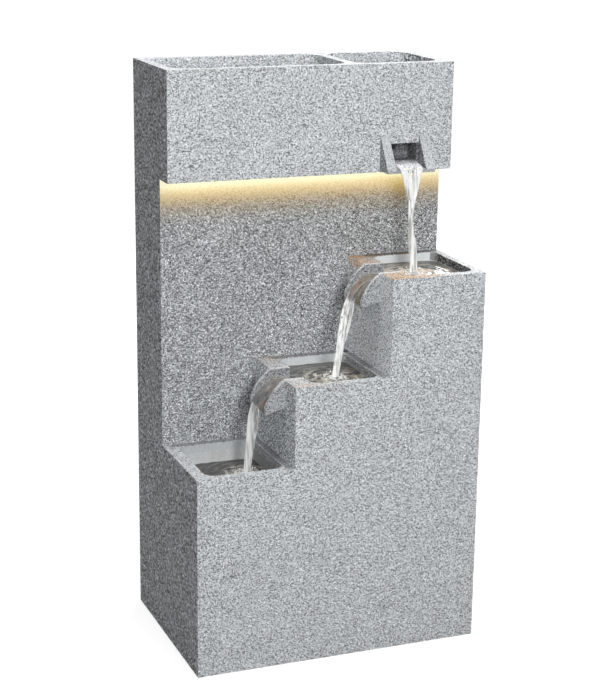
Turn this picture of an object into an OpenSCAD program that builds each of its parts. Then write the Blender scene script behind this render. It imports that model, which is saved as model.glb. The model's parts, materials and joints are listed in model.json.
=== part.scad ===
// Stepped cascade fountain with a planter box on top and a light under its overhang.
// Millimetres, Z up, front towards -Y, origin on the ground under the centre of the base.

/* [Overall size] */
// Width from side to side
width = 500; // [480:5:540]
// Depth from front to back
depth = 335; // [325:5:370]
// Height of the planter rim above the ground
height = 975; // [950:5:1040]
// Thickness of the moulded walls
wall = 8; // [7:0.5:8]

/* [Planter box] */
// Depth of the planter box, overhang included
header_depth = 190; // [185:1:205]
// Height of the planter box
header_height = 180; // [175:1:200]
// Thickness of the overhang's underside
soffit = 16; // [15:0.5:18]
// Depth of the soil compartments
soil_depth = 100; // [80:1:105]
// Thickness of the floor under the soil
soil_floor = 10; // [8:0.5:12]
// Width of the planter's front rim
planter_front_rim = 15; // [12:0.5:20]
// Width of the planter's side and back rims
planter_rim = 18; // [14:0.5:22]
// Thickness of the wall between the compartments
divider = 16; // [12:0.5:20]
// Place of that wall, to the right of the middle
divider_x = 75; // [40:1:100]
// Corner radius of the compartments
soil_corner = 28; // [15:1:40]
// Radius of the drain hole in each compartment
soil_drain_r = 8; // [6:0.5:10]

/* [Tower] */
// Depth of the tower behind the steps
tower_depth = 147; // [145:1:155]
// Height of the open passage from the tower into the steps
passage_height = 210; // [200:1:225]

/* [Steps and basins] */
// Height of the lower basin's rim
lower_rim = 342; // [335:1:360]
// Height of the middle basin's rim
middle_rim = 480; // [460:1:500]
// Height of the upper basin's rim
upper_rim = 646; // [630:1:665]
// Thickness of the rims around the basins
rim_plate = 14; // [10:0.5:15]
// Width of the rims along the front
front_rim = 16; // [14:0.5:22]
// Width of the rims against the tower
back_rim = 16; // [12:0.5:22]
// Width of the rims on the right
right_rim = 12; // [12:0.5:18]
// Width of the lower basin's left rim
left_rim = 21; // [14:0.5:26]
// Width of the rims that the water spills over
spill_rim = 34; // [28:0.5:38]
// Corner radius of the basins
basin_corner = 18; // [12:1:24]
// How far a basin's walls lean in down to its floor
basin_taper = 4; // [2:0.5:6]
// Thickness of the basin trays
tray_wall = 3; // [2:0.5:3]
// Depth of the upper and middle basins below their rims
small_basin_depth = 70; // [60:1:80]
// Depth of the lower basin below its rim
lower_basin_depth = 105; // [95:1:110]
// Water level below the upper and middle rims
spill_level = 14; // [13:0.5:15]
// Water level below the lower rim
lower_level = 33; // [28:0.5:38]

/* [Weirs] */
// Distance from the tower's front to a weir
weir_setback = 65.5; // [55:0.5:75]
// Width of a weir over its cheeks
weir_width = 75; // [65:0.5:80]
// Thickness of a weir's cheeks
weir_cheek = 7.5; // [6:0.5:9]
// How far a weir stands out of the wall
weir_reach = 34; // [30:0.5:38]
// Drop of a cheek's top edge out to the lip
cheek_drop = 45; // [42:0.5:48]
// Radius of a cheek's curved top edge
cheek_radius = 100; // [80:1:120]
// Depth of the trough's floor below the rim
trough_depth = 17; // [16:0.5:18]
// Radius of the trough floor's curve
trough_radius = 64; // [55:1:75]
// Depth of the lip's edge below the rim
lip_drop = 54; // [52:0.5:56]
// Thickness of the lip's edge
lip_edge = 3; // [2:0.5:4]
// Depth of the weir's underside at the wall
weir_root = 47; // [44:0.5:50]
// Thickness of the trough's floor inside the rim
trough_floor = 10; // [8:0.5:12]

/* [Top spout] */
// Distance from the middle of the spout to the fountain's right side
spout_inset = 88; // [82:0.5:100]
// Width of the spout over its cheeks
spout_width = 86; // [76:0.5:94]
// Thickness of the spout's cheeks
spout_cheek = 16; // [12:0.5:18]
// How far the spout stands out of the planter box
spout_reach = 34; // [28:0.5:38]
// Height of the cheeks' top above the box's underside
spout_top = 61; // [55:0.5:66]
// Height of the cheeks' foot above the box's underside
spout_foot = 2; // [1:0.5:3]
// Height of the cheeks' front edge
spout_nose = 5; // [3:0.5:8]
// Height of the lip above the box's underside
spout_lip = 6.5; // [6:0.5:8]
// Height of the chute's floor behind the box's face
chute_height = 15; // [14.5:0.5:17]
// Height of the mouth's top above the box's underside
mouth_top = 47; // [42:0.5:50]
// Thickness of the inlet box's walls
inlet_wall = 3; // [2:0.5:3]
// Depth of the inlet box
inlet_depth = 38; // [30:0.5:40]

/* [Light] */
// Width of the light channel
channel_width = 20; // [16:0.5:22]
// Height of the light channel
channel_height = 8; // [7:0.5:8]
// Wall of the light channel
channel_wall = 1.2; // [1:0.1:1.5]
// Gap from the overhang's face to the channel
channel_setback = 15.5; // [12:0.5:18]
// Gap from the box's sides to the channel's ends
channel_end_gap = 20; // [12:1:40]
// Depth of the channel's lower edge above the underside
channel_recess = 1; // [0.5:0.25:1]
// Width of the light strip
strip_width = 10; // [8:0.5:12]
// Thickness of the light strip
strip_thick = 0.8; // [0.6:0.1:1]
// Number of light chips
chip_count = 27; // [20:1:40]
// Thickness of the diffuser
diffuser_thick = 1.5; // [1:0.1:2]

/* [Reservoir] */
// Height of the base board
base_thick = 10; // [8:0.5:12]
// Height of the reservoir's rim above the ground
tub_rim = 190; // [180:1:195]
// Thickness of the reservoir's walls and floor
tub_wall = 4; // [3:0.5:5]
// Gap between the reservoir and the casing
tub_gap = 6; // [5.5:0.5:8]
// Corner radius of the reservoir
tub_corner = 11; // [8:1:25]
// Outer radius of the overflow pipe
overflow_r = 11; // [9:0.5:12]
// Wall of the overflow pipe
overflow_wall = 2; // [1.5:0.5:3]
// Place of the overflow pipe from the lower basin's right front corner
overflow_inset = 33; // [30:1:40]
// Height of the overflow pipe's lower end above the ground
overflow_end = 150; // [120:1:175]

/* [Pump] */
// Length of the pump
pump_length = 100; // [96:1:104]
// Width of the pump
pump_width = 62; // [58:1:66]
// Height of the pump's body
pump_height = 62; // [60:1:68]
// Length of the intake cover
intake_length = 48; // [46:1:52]
// Wall of the intake cover
intake_wall = 2.5; // [2:0.5:3]
// Height of the pump's feet
foot_height = 8; // [6:0.5:10]
// Radius of the impeller
impeller_r = 18; // [15:0.5:20]
// Radius of the rotor
rotor_r = 9.5; // [8:0.5:10]
// Radius of the impeller's shaft
shaft_r = 1.5; // [1.5:0.25:2]
// Running gap between the shaft and the impeller
shaft_gap = 0.05; // [0.03:0.01:0.1]

/* [Hose and leads] */
// Outer radius of the riser hose
hose_r = 8.5; // [8:0.25:9]
// Bore radius of the riser hose
hose_bore_r = 6.5; // [6:0.25:7]
// Bend radius of the riser hose
hose_bend = 60; // [50:1:60]
// Distance from the tower's back wall to the riser hose
hose_stand_off = 51.5; // [48:0.5:56]
// Radius of the pump's lead
pump_lead_r = 3; // [2.5:0.25:3.5]
// Radius of the light's lead
light_lead_r = 2; // [1.5:0.25:2.5]
// Height of the cable grommet above the ground
grommet_z = 250; // [240:1:270]

/* [Rear door] */
// Width of the door opening
door_width = 220; // [180:5:230]
// Height of the door opening
door_height = 220; // [190:5:230]
// Height of the opening's lower edge above the ground
door_z = 212; // [205:1:230]
// Gap around the door
door_gap = 1; // [0.8:0.1:1.5]
// Thickness of the door
door_thick = 6; // [5:0.5:6]
// Width of the frame behind the door's edge
frame_lip = 12; // [10:0.5:16]
// Radius of the hinge pins
pin_r = 1.5; // [1:0.25:1.5]

/* [Drain] */
// Distance from the drain to the fountain's left side, seen from the front
drain_inset = 100; // [70:1:130]
// Height of the drain above the reservoir's floor
drain_height = 20; // [19:0.5:26]
// Bore radius of the drain
drain_r = 8; // [6:0.5:9]

/* [Hidden] */

stone = [0.70, 0.72, 0.73];
dark_plastic = [0.16, 0.17, 0.18];
grey_plastic = [0.55, 0.57, 0.58];
steel = [0.72, 0.73, 0.75];
water = [0.75, 0.86, 0.9, 0.4];

// A cut goes this far past a face, and a near fit keeps this much clearance.
past = 1;
clear = 0.3;

side_x = width / 2;
front_y = -depth / 2;
back_y = depth / 2;
panel_y = back_y - tower_depth;
header_y = back_y - header_depth;
header_z = height - header_height;
inner_x = side_x - wall;
inner_back_y = back_y - wall;
spout_x = side_x - spout_inset;
drain_x = side_x - drain_inset;

// The steps, left to right: left edge, right edge, rim height, left rim, floor, water level.
step_w = width / 3;
LEFT = 0;
RIGHT = 1;
RIM = 2;
LEFT_RIM = 3;
FLOOR = 4;
LEVEL = 5;
lower = [-side_x, -side_x + step_w, lower_rim, left_rim,
    lower_rim - lower_basin_depth, lower_rim - lower_level];
middle = [lower[RIGHT], lower[RIGHT] + step_w, middle_rim, spill_rim,
    middle_rim - small_basin_depth, middle_rim - spill_level];
upper = [middle[RIGHT], side_x, upper_rim, spill_rim,
    upper_rim - small_basin_depth, upper_rim - spill_level];
steps = [lower, middle, upper];

// Plain shapes.
module block(low, high) translate(low) cube(high - low);

module rounded_area(low, high, r) {
    translate([low.x + r, low.y]) square([high.x - low.x - 2 * r, high.y - low.y]);
    translate([low.x, low.y + r]) square([high.x - low.x, high.y - low.y - 2 * r]);
    for (x = [low.x + r, high.x - r], y = [low.y + r, high.y - r])
        translate([x, y]) circle(r, $fn = 64);
}

module rounded_block(low, high, r)
    translate([0, 0, low.z]) linear_extrude(high.z - low.z) rounded_area(low, high, r);

// Cylinders along X, Y or Z from one end to the other.
module rod_x(a, b, y, z, r)
    translate([a, y, z]) rotate([0, 90, 0]) cylinder(b - a, r, r, $fn = 64);
module rod_y(a, b, x, z, r)
    translate([x, a, z]) rotate([-90, 0, 0]) cylinder(b - a, r, r, $fn = 64);
module rod_z(a, b, x, y, r)
    translate([x, y, a]) cylinder(b - a, r, r, $fn = 64);

// Extrudes an outline drawn in X and Z along Y, or one drawn in Y and Z along X.
module along_y(a, b) translate([0, b, 0]) rotate([90, 0, 0]) linear_extrude(b - a) children();
module along_x(a, b)
    translate([a, 0, 0]) rotate([90, 0, 90]) linear_extrude(b - a) children();

// A round run along points whose corners are right angles, each turned at radius bend.
module run(points, bend, r) {
    last = len(points) - 1;
    for (i = [0 : last - 1]) {
        way = unit(points[i + 1] - points[i]);
        from = points[i] + (i > 0 ? bend * way : [0, 0, 0]);
        to = points[i + 1] - (i < last - 1 ? bend * way : [0, 0, 0]);
        place(from, across(way), cross(way, across(way)), way)
            cylinder(norm(to - from), r, r, $fn = 48);
    }
    for (i = [1 : last - 1]) {
        before = unit(points[i] - points[i - 1]);
        after = unit(points[i + 1] - points[i]);
        place(points[i] - bend * before + bend * after, -after, before, cross(-after, before))
            rotate_extrude(angle = 90, $fn = 96) translate([bend, 0]) circle(r, $fn = 48);
    }
}
module place(at, x, y, z)
    multmatrix([[x.x, y.x, z.x, at.x], [x.y, y.y, z.y, at.y], [x.z, y.z, z.z, at.z]])
        children();
function unit(v) = v / norm(v);
function across(v) = abs(v.x) > 0.5 ? [0, 1, 0] : [1, 0, 0];
function mix(a, b, t) = a + (b - a) * t;

// A flat stream of water: an eight-sided ring at each station, joined into one closed skin.
// A station is its centre, its width, its thickness, and its way downstream.
STREAM_SIDES = 8;
function stream_ring(station, sideways) =
    let (facing = unit(cross(station[3], sideways)))
    [for (i = [0 : STREAM_SIDES - 1]) let (a = 360 * i / STREAM_SIDES)
        station[0] + sideways * station[1] / 2 * cos(a) + facing * station[2] / 2 * sin(a)];
module stream(stations, sideways) {
    rings = [for (s = stations) stream_ring(s, sideways)];
    n = STREAM_SIDES;
    last = len(rings) - 1;
    polyhedron(
        points = [for (ring = rings) each ring],
        faces = concat(
            [[for (i = [0 : n - 1]) i]],
            [[for (i = [n - 1 : -1 : 0]) last * n + i]],
            [for (k = [0 : last - 1], i = [0 : n - 1])
                let (j = (i + 1) % n)
                each [[k * n + i, (k + 1) * n + i, k * n + j],
                      [k * n + j, (k + 1) * n + i, (k + 1) * n + j]]]));
}

// The mouldings.

// The tower: four walls, open below and above, with the door opening at the back.
frame_low = [-door_width / 2, door_z];
frame_high = [door_width / 2, door_z + door_height];
module tower_shell() color(stone) difference() {
    block([-side_x, panel_y, 0], [side_x, back_y, header_z]);
    block([-inner_x, panel_y + wall, -past], [inner_x, inner_back_y, header_z + past]);
    block([-inner_x, panel_y - past, -past], [inner_x, panel_y + wall + past, passage_height]);
    block([frame_low.x, inner_back_y - past, frame_low.y],
        [frame_high.x, back_y + past, frame_high.y]);
    rod_y(inner_back_y - past, back_y + past, grommet_x, grommet_z, grommet_r);
    rod_y(inner_back_y - past, back_y + past, -drain_x, drain_z, drain_body_r);
    hinge_pin_holes();
    bracket_shanks();
    tie_shanks();
}

// The stepped casing: front, sides, step walls and rims, open at the back and below.
step_outline = [[-side_x, 0], [side_x, 0], [side_x, upper_rim], [upper[LEFT], upper_rim],
    [upper[LEFT], middle_rim], [middle[LEFT], middle_rim], [middle[LEFT], lower_rim],
    [-side_x, lower_rim]];
step_inside = [[-inner_x, -past], [inner_x, -past], [inner_x, upper_rim - rim_plate],
    [upper[LEFT] + wall, upper_rim - rim_plate], [upper[LEFT] + wall, middle_rim - rim_plate],
    [middle[LEFT] + wall, middle_rim - rim_plate], [middle[LEFT] + wall, lower_rim - rim_plate],
    [-inner_x, lower_rim - rim_plate]];
module stepped_casing() color(stone) difference() {
    along_y(front_y, panel_y) polygon(step_outline);
    along_y(front_y + wall, panel_y + past) polygon(step_inside);
    for (s = steps)
        rounded_block(basin_low(s, s[RIM] - rim_plate - past), basin_high(s, s[RIM] + past),
            basin_corner);
    for (s = [middle, upper]) weir_notch(s);
    bracket_shanks();
}

// The corners of a basin's opening.
function basin_low(s, z) = [s[LEFT] + s[LEFT_RIM], front_y + front_rim, z];
function basin_high(s, z) = [s[RIGHT] - right_rim, panel_y - back_rim, z];

// Room for a weir through a step's wall and rim.
weir_back_y = panel_y - weir_setback;
weir_front_y = weir_back_y - weir_width;
module weir_notch(s) {
    block([s[LEFT] - past, weir_front_y, s[RIM] - weir_root],
        [s[LEFT] + wall, weir_back_y, s[RIM] + past]);
    block([s[LEFT] + wall, weir_front_y, s[RIM] - trough_depth - trough_floor],
        [s[LEFT] + spill_rim + past, weir_back_y, s[RIM] + past]);
}

// The planter box: two soil compartments over a service space, and the overhang with its slot.
soil_z = height - soil_depth;
service_low = header_z + soffit;
service_high = soil_z - soil_floor;
soil_front_y = header_y + planter_front_rim;
soil_back_y = back_y - planter_rim;
soil_rooms = [[-side_x + planter_rim, divider_x - divider / 2],
    [divider_x + divider / 2, side_x - planter_rim]];
module planter_box() color(stone) difference() {
    block([-side_x, header_y, header_z], [side_x, back_y, height]);
    block([-inner_x, header_y + wall, service_low], [inner_x, inner_back_y, service_high]);
    block([-inner_x, panel_y + wall, header_z - past],
        [inner_x, inner_back_y, service_low + past]);
    for (room = soil_rooms)
        rounded_block([room[0], soil_front_y, soil_z], [room[1], soil_back_y, height + past],
            soil_corner);
    for (room = soil_rooms)
        rod_z(service_high - past, soil_z + past, soil_drain_x(room), soil_drain_y,
            soil_drain_r);
    block([mouth_left, header_y - past, header_z + tongue_base],
        [mouth_right, header_y + wall + past, header_z + mouth_top]);
    block([mouth_left - inlet_wall, header_y + wall, inlet_z],
        [mouth_right + inlet_wall, header_y + wall + inlet_depth, service_low + past]);
    block([-channel_x, channel_front_y, header_z - past],
        [channel_x, channel_back_y, channel_top]);
    rod_z(header_z, service_low + past, lead_x, channel_mid_y, light_lead_r + lead_room);
    tie_shanks();
}
soil_drain_y = (soil_front_y + soil_back_y) / 2;
function soil_drain_x(room) = (room[0] + room[1]) / 2;

// The board that closes the foot of both shells and carries the reservoir.
module base_board() color(dark_plastic)
    block([-inner_x, front_y + wall, 0], [inner_x, inner_back_y, base_thick]);

// The basins, bonded under the rims. Their walls lean in down to the floor.
function basin_radius(s, z, grow) =
    let (top = s[RIM] - rim_plate)
    basin_corner + grow - basin_taper * (top - z) / (top - s[FLOOR]);
module basin_space(s, z0, z1, grow) {
    inset = [basin_corner, basin_corner, 0];
    low = basin_low(s, z0) + inset;
    high = basin_high(s, z1) - inset;
    hull() for (x = [low.x, high.x], y = [low.y, high.y]) translate([x, y, z0])
        cylinder(z1 - z0, basin_radius(s, z0, grow), basin_radius(s, z1, grow), $fn = 32);
}
module basin_tray(s) difference() {
    basin_space(s, s[FLOOR] - tray_wall, s[RIM] - rim_plate, tray_wall);
    basin_space(s, s[FLOOR], s[RIM] - rim_plate + past, 0);
    if (s[LEFT] > -side_x)
        block([s[LEFT] + wall, weir_front_y, s[RIM] - trough_depth - trough_floor],
            [s[LEFT] + spill_rim + basin_taper, weir_back_y, s[RIM]]);
}
module upper_basin() color(grey_plastic) basin_tray(upper);
module middle_basin() color(grey_plastic) basin_tray(middle);
module lower_basin() color(grey_plastic) difference() {
    basin_tray(lower);
    rod_z(lower[FLOOR] - tray_wall - past, lower[FLOOR] + past, overflow_x, overflow_y,
        overflow_r);
}

// The weirs. Their outline has X outwards from the wall and Y up from the rim.
cheek_start = [0, 0];
cheek_end = [weir_reach, -cheek_drop];
trough_start = [-4, -trough_depth];
trough_end = [weir_reach, -lip_drop];
function arc_out(p, q) = [p.y - q.y, q.x - p.x] / norm(q - p);
function arc_centre(p, q, r) =
    (p + q) / 2 - arc_out(p, q) * sqrt(r * r - pow(norm(q - p) / 2, 2));
module arc_top(p, q, r) intersection() {
    translate(arc_centre(p, q, r)) circle(r, $fn = 180);
    polygon([[-wall, p.y], [weir_reach, p.y], [weir_reach, -lip_drop - lip_edge],
        [0, -weir_root], [-wall, -weir_root]]);
}
module cheek_area() {
    arc_top(cheek_start, cheek_end, cheek_radius);
    rim_part(cheek_start);
}
module trough_area() {
    arc_top(trough_start, trough_end, trough_radius);
    rim_part(trough_start);
}
module rim_part(p) translate([-spill_rim, -trough_depth - trough_floor])
    square([p.x + spill_rim, p.y + trough_depth + trough_floor]);
module weir(s) translate([s[LEFT], 0, s[RIM]]) mirror([1, 0, 0]) {
    along_y(weir_front_y + weir_cheek / 2, weir_back_y - weir_cheek / 2) trough_area();
    along_y(weir_front_y, weir_front_y + weir_cheek) cheek_area();
    along_y(weir_back_y - weir_cheek, weir_back_y) cheek_area();
}
module upper_weir() color(stone) weir(upper);
module middle_weir() color(stone) weir(middle);

// The top spout: two wedge cheeks and a sloping chute whose tongue passes through the mouth.
spout_left = spout_x - spout_width / 2;
spout_right = spout_x + spout_width / 2;
mouth_left = spout_left + spout_cheek;
mouth_right = spout_right - spout_cheek;
tongue_thick = 6;
tongue_base = chute_height - tongue_thick;
inlet_z = header_z + chute_height - inlet_wall;
nose_y = header_y - spout_reach;
cheek_side = [[header_y, header_z + spout_top], [nose_y, header_z + spout_foot + spout_nose],
    [nose_y, header_z + spout_foot], [header_y, header_z + spout_foot]];
chute_side = [[nose_y, header_z + spout_lip], [nose_y, header_z + spout_foot],
    [header_y, header_z + spout_foot], [header_y, header_z + tongue_base],
    [header_y + wall, header_z + tongue_base], [header_y + wall, header_z + chute_height]];
module top_spout() color(stone) {
    along_x(spout_left, mouth_left) polygon(cheek_side);
    along_x(mouth_right, spout_right) polygon(cheek_side);
    along_x(mouth_left, mouth_right) polygon(chute_side);
}

// The inlet box behind the mouth, with the barb that the hose pushes onto.
inlet_back_y = header_y + wall + inlet_depth;
hose_top_z = header_z + (chute_height + mouth_top) / 2 + inlet_wall;
barb_length = 22;
barb_bore_r = hose_bore_r - 1.5;
module spout_inlet() color(stone) difference() {
    union() {
        block([mouth_left - inlet_wall, header_y + wall, inlet_z],
            [mouth_right + inlet_wall, inlet_back_y, header_z + mouth_top + inlet_wall]);
        rod_y(inlet_back_y - past, inlet_back_y + barb_length, spout_x, hose_top_z, hose_bore_r);
    }
    block([mouth_left, header_y + wall - past, header_z + chute_height],
        [mouth_right, inlet_back_y - inlet_wall, header_z + mouth_top]);
    rod_y(inlet_back_y - inlet_wall - past, inlet_back_y + barb_length + past, spout_x,
        hose_top_z, barb_bore_r);
}

// The reservoir in the foot, with the overflow that feeds it.
tub_low = [-inner_x + tub_gap, front_y + wall + tub_gap, base_thick];
tub_high = [inner_x - tub_gap, inner_back_y - tub_gap, tub_rim];
tub_floor_z = base_thick + tub_wall;
module reservoir_tub() color(dark_plastic) difference() {
    rounded_block(tub_low, tub_high, tub_corner);
    rounded_block([tub_low.x + tub_wall, tub_low.y + tub_wall, tub_floor_z],
        [tub_high.x - tub_wall, tub_high.y - tub_wall, tub_rim + past], tub_corner - tub_wall);
    rod_y(tub_high.y - tub_wall - past, tub_high.y + past, -drain_x, drain_z, drain_body_r);
}
overflow_x = lower[RIGHT] - right_rim - overflow_inset;
overflow_y = front_y + front_rim + overflow_inset;
overflow_top = lower[LEVEL] - 1;
overflow_flange = 5;
overflow_flange_t = 3;
module overflow_pipe() color(grey_plastic) difference() {
    union() {
        rod_z(overflow_end, overflow_top, overflow_x, overflow_y, overflow_r);
        rod_z(lower[FLOOR], lower[FLOOR] + overflow_flange_t, overflow_x, overflow_y,
            overflow_r + overflow_flange);
    }
    rod_z(overflow_end - past, overflow_top + past, overflow_x, overflow_y,
        overflow_r - overflow_wall);
}
nut_height = 8;
nut_r = overflow_r + 7;
module overflow_nut() color(dark_plastic) difference() {
    nut_top = lower[FLOOR] - tray_wall;
    translate([overflow_x, overflow_y, nut_top - nut_height])
        cylinder(nut_height, nut_r, nut_r, $fn = 6);
    rod_z(nut_top - nut_height - past, nut_top + past, overflow_x, overflow_y, overflow_r);
}

// The slotted strainer that stands over the overflow pipe and lifts off it.
strainer_r = overflow_r + overflow_flange;
strainer_wall = 1.5;
strainer_slots = 12;
strainer_slot = 2;
strainer_band = 12;
strainer_top = overflow_top + 8;
strainer_foot = lower[FLOOR] + overflow_flange_t;
module basin_strainer() color(dark_plastic) difference() {
    rod_z(strainer_foot, strainer_top, overflow_x, overflow_y, strainer_r);
    rod_z(strainer_foot - past, strainer_top - strainer_wall, overflow_x, overflow_y,
        strainer_r - strainer_wall);
    translate([overflow_x, overflow_y, 0]) for (i = [0 : strainer_slots / 2 - 1])
        rotate([0, 0, i * 360 / strainer_slots])
            block([-strainer_r - past, -strainer_slot / 2, strainer_foot + strainer_band],
                [strainer_r + past, strainer_slot / 2, strainer_top - 3 * strainer_wall]);
}

// The pump. Its shaft runs along X, its intake faces the middle, and its outlet stands under
// the spout, so that the hose rises straight.
chamber_wall = 3.5;
chamber_room = 3;
chamber_r = impeller_r + chamber_room;
chamber_depth = 2 * (hose_r + past);
chamber_left = spout_x - chamber_depth / 2;
motor_left = spout_x + chamber_depth / 2;
cover_left = chamber_left - 3;
pump_left = motor_left - intake_length;
pump_right = pump_left + pump_length;
pump_y = inner_back_y - hose_stand_off;
pump_base = tub_floor_z + foot_height;
pump_top = pump_base + pump_height;
shaft_z = pump_base + pump_height / 2;
pump_corner = 6;
rotor_room = 1;
rotor_end = pump_right - 10;
bush_r = 3.5;
bush_length = 4;
gland_height = 8;
gland_wall = 2.5;
eye_ring = 8.5;
eye_r = 4;
module pump_outline(inset) rounded_area(
    [pump_y - pump_width / 2 + inset, pump_base + inset],
    [pump_y + pump_width / 2 - inset, pump_top - inset], pump_corner - inset);
module pump_body() color(dark_plastic) difference() {
    union() {
        along_x(motor_left, pump_right) pump_outline(0);
        rod_x(chamber_left, motor_left + past, pump_y, shaft_z, chamber_r + chamber_wall);
        block([chamber_left, pump_y - hose_r, shaft_z],
            [motor_left + past, pump_y + hose_r, pump_top]);
        rod_z(pump_top - past, pump_top + gland_height, pump_lead_x, pump_y,
            pump_lead_r + gland_wall);
    }
    rod_x(chamber_left - past, motor_left, pump_y, shaft_z, chamber_r);
    rod_x(motor_left - past, rotor_end, pump_y, shaft_z, rotor_r + rotor_room);
    rod_x(rotor_end - past, rotor_end + bush_length, pump_y, shaft_z, bush_r);
    rod_z(shaft_z + chamber_r / 2, pump_top + past, spout_x, pump_y, barb_bore_r);
    rod_z(pump_top, pump_top + gland_height + past, pump_lead_x, pump_y, pump_lead_r);
}
module impeller_cover() color(grey_plastic) difference() {
    rod_x(cover_left, chamber_left, pump_y, shaft_z, chamber_r + chamber_wall);
    for (a = [0, 120, 240])
        translate([0, pump_y, shaft_z]) rotate([a, 0, 0])
            rod_x(cover_left - past, chamber_left + past, 0, eye_ring, eye_r);
    rod_x(cover_left - past, chamber_left + past, pump_y, shaft_z, bush_r);
}
blade_count = 6;
blade_thick = 1.6;
blade_root = 3;
hub_r = 5;
end_play = 2;
module impeller() color("white") difference() {
    union() {
        rod_x(motor_left + end_play, rotor_end - end_play, pump_y, shaft_z, rotor_r);
        rod_x(chamber_left + end_play, motor_left + end_play, pump_y, shaft_z, hub_r);
        for (i = [0 : blade_count - 1])
            translate([0, pump_y, shaft_z]) rotate([i * 360 / blade_count, 0, 0])
                block([chamber_left + end_play, -blade_thick / 2, blade_root],
                    [motor_left - end_play, blade_thick / 2, impeller_r]);
    }
    rod_x(chamber_left, rotor_end, pump_y, shaft_z, shaft_r + shaft_gap);
}
module impeller_shaft() color(steel)
    rod_x(cover_left, rotor_end + bush_length, pump_y, shaft_z, shaft_r);
module shaft_bushes() color("dimgray") {
    shaft_bush(cover_left, chamber_left);
    shaft_bush(rotor_end, rotor_end + bush_length);
}
module shaft_bush(a, b) difference() {
    rod_x(a, b, pump_y, shaft_z, bush_r);
    rod_x(a - past, b + past, pump_y, shaft_z, shaft_r);
}

// The slotted intake cover, which slides off the front of the pump, and the dial on it.
slit = 2.5;
slit_step = 5.5;
slit_margin = 10;
front_slit_height = 5;
dial_r = 16;
dial_thick = 4;
dial_boss_r = 3;
dial_cap = 2;
dial_left = pump_left - clear - dial_thick;
module intake_strainer() color(dark_plastic) {
    difference() {
        along_x(pump_left, motor_left) pump_outline(0);
        along_x(pump_left + intake_wall, motor_left + past) pump_outline(intake_wall);
        block([chamber_left - clear, pump_y - hose_r - clear, shaft_z],
            [motor_left + past, pump_y + hose_r + clear, pump_top + past]);
        for (i = [-4 : 4])
            block([pump_left - past, pump_y + i * slit_step - slit / 2, pump_base + slit_margin],
                [pump_left + intake_wall + past, pump_y + i * slit_step + slit / 2,
                    pump_base + slit_margin + front_slit_height]);
        for (i = [0 : 4])
            block([pump_left + slit_margin + i * slit_step, pump_y - pump_width / 2 - past,
                    pump_base + slit_margin],
                [pump_left + slit_margin + i * slit_step + slit, pump_y + pump_width / 2 + past,
                    pump_top - slit_margin]);
    }
    rod_x(dial_left - clear, pump_left + past, pump_y, shaft_z, dial_boss_r);
    rod_x(dial_left - clear - dial_cap, dial_left - clear, pump_y, shaft_z,
        dial_boss_r + dial_cap);
}
dial_grip = [4, 3, 9];
module flow_dial() color("seagreen") difference() {
    union() {
        rod_x(dial_left, pump_left - clear, pump_y, shaft_z, dial_r);
        block([dial_left - dial_grip.x, pump_y - dial_grip.y / 2, shaft_z + dial_r - dial_grip.z],
            [dial_left + past, pump_y + dial_grip.y / 2, shaft_z + dial_r]);
    }
    rod_x(dial_left - past, pump_left, pump_y, shaft_z, dial_boss_r + shaft_gap);
}

// The outlet nozzle and the suction feet.
nozzle_base = 6;
nozzle_height = 28;
module pump_outlet() color(grey_plastic) difference() {
    union() {
        rod_z(pump_top, pump_top + nozzle_base, spout_x, pump_y, hose_r);
        rod_z(pump_top, pump_top + nozzle_height, spout_x, pump_y, hose_bore_r);
    }
    rod_z(pump_top - past, pump_top + nozzle_height + past, spout_x, pump_y, barb_bore_r);
}
sucker_r = 9;
sucker_neck_r = 5;
sucker_inset = 11;
module pump_feet() color("dimgray")
    for (x = [motor_left + sucker_inset, pump_right - sucker_inset], side = [-1, 1])
        translate([x, pump_y + side * (pump_width / 2 - sucker_inset), tub_floor_z])
            cylinder(foot_height, sucker_r, sucker_neck_r, $fn = 48);

// The riser hose, its clamps and the arms that hold it off the tower's back wall.
hose_low_z = pump_top + nozzle_base;
hose_points = [[spout_x, pump_y, hose_low_z], [spout_x, pump_y, hose_top_z],
    [spout_x, inlet_back_y, hose_top_z]];
module riser_hose() color([0.1, 0.1, 0.1]) difference() {
    run(hose_points, hose_bend, hose_r);
    run([hose_points[0] - [0, 0, past], hose_points[1], hose_points[2] - [0, past, 0]],
        hose_bend, hose_bore_r);
}
clamp_width = 9;
clamp_thick = 1;
clamp_inset = 6;
clamp_screw_box = [12, 6];
module hose_clamps() color(steel) {
    translate([spout_x, pump_y, hose_low_z + clamp_inset]) hose_clamp();
    translate([spout_x, inlet_back_y + clamp_inset, hose_top_z]) rotate([-90, 0, 0])
        mirror([0, 1, 0]) hose_clamp();
}
module hose_clamp() difference() {
    union() {
        cylinder(clamp_width, hose_r + clamp_thick, hose_r + clamp_thick, $fn = 64);
        block([-clamp_screw_box.x / 2, 0, 0],
            [clamp_screw_box.x / 2, hose_r + clamp_screw_box.y, clamp_width]);
    }
    rod_z(-past, clamp_width + past, 0, 0, hose_r);
}
clip_heights = [0.4, 0.75];
clip_wall = 3;
clip_high = 12;
clip_arm = 10;
clip_plate = 28;
module hose_clips() color(dark_plastic) for (share = clip_heights)
    translate([spout_x, 0, share * header_z]) difference() {
        union() {
            rod_z(-clip_high / 2, clip_high / 2, 0, pump_y, hose_r + clip_wall);
            block([-clip_arm / 2, pump_y, -clip_high / 2],
                [clip_arm / 2, inner_back_y, clip_high / 2]);
            block([-clip_plate / 2, inner_back_y - clip_wall, -clip_plate / 2],
                [clip_plate / 2, inner_back_y, clip_plate / 2]);
        }
        rod_z(-clip_high / 2 - past, clip_high / 2 + past, 0, pump_y, hose_r);
    }

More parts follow.
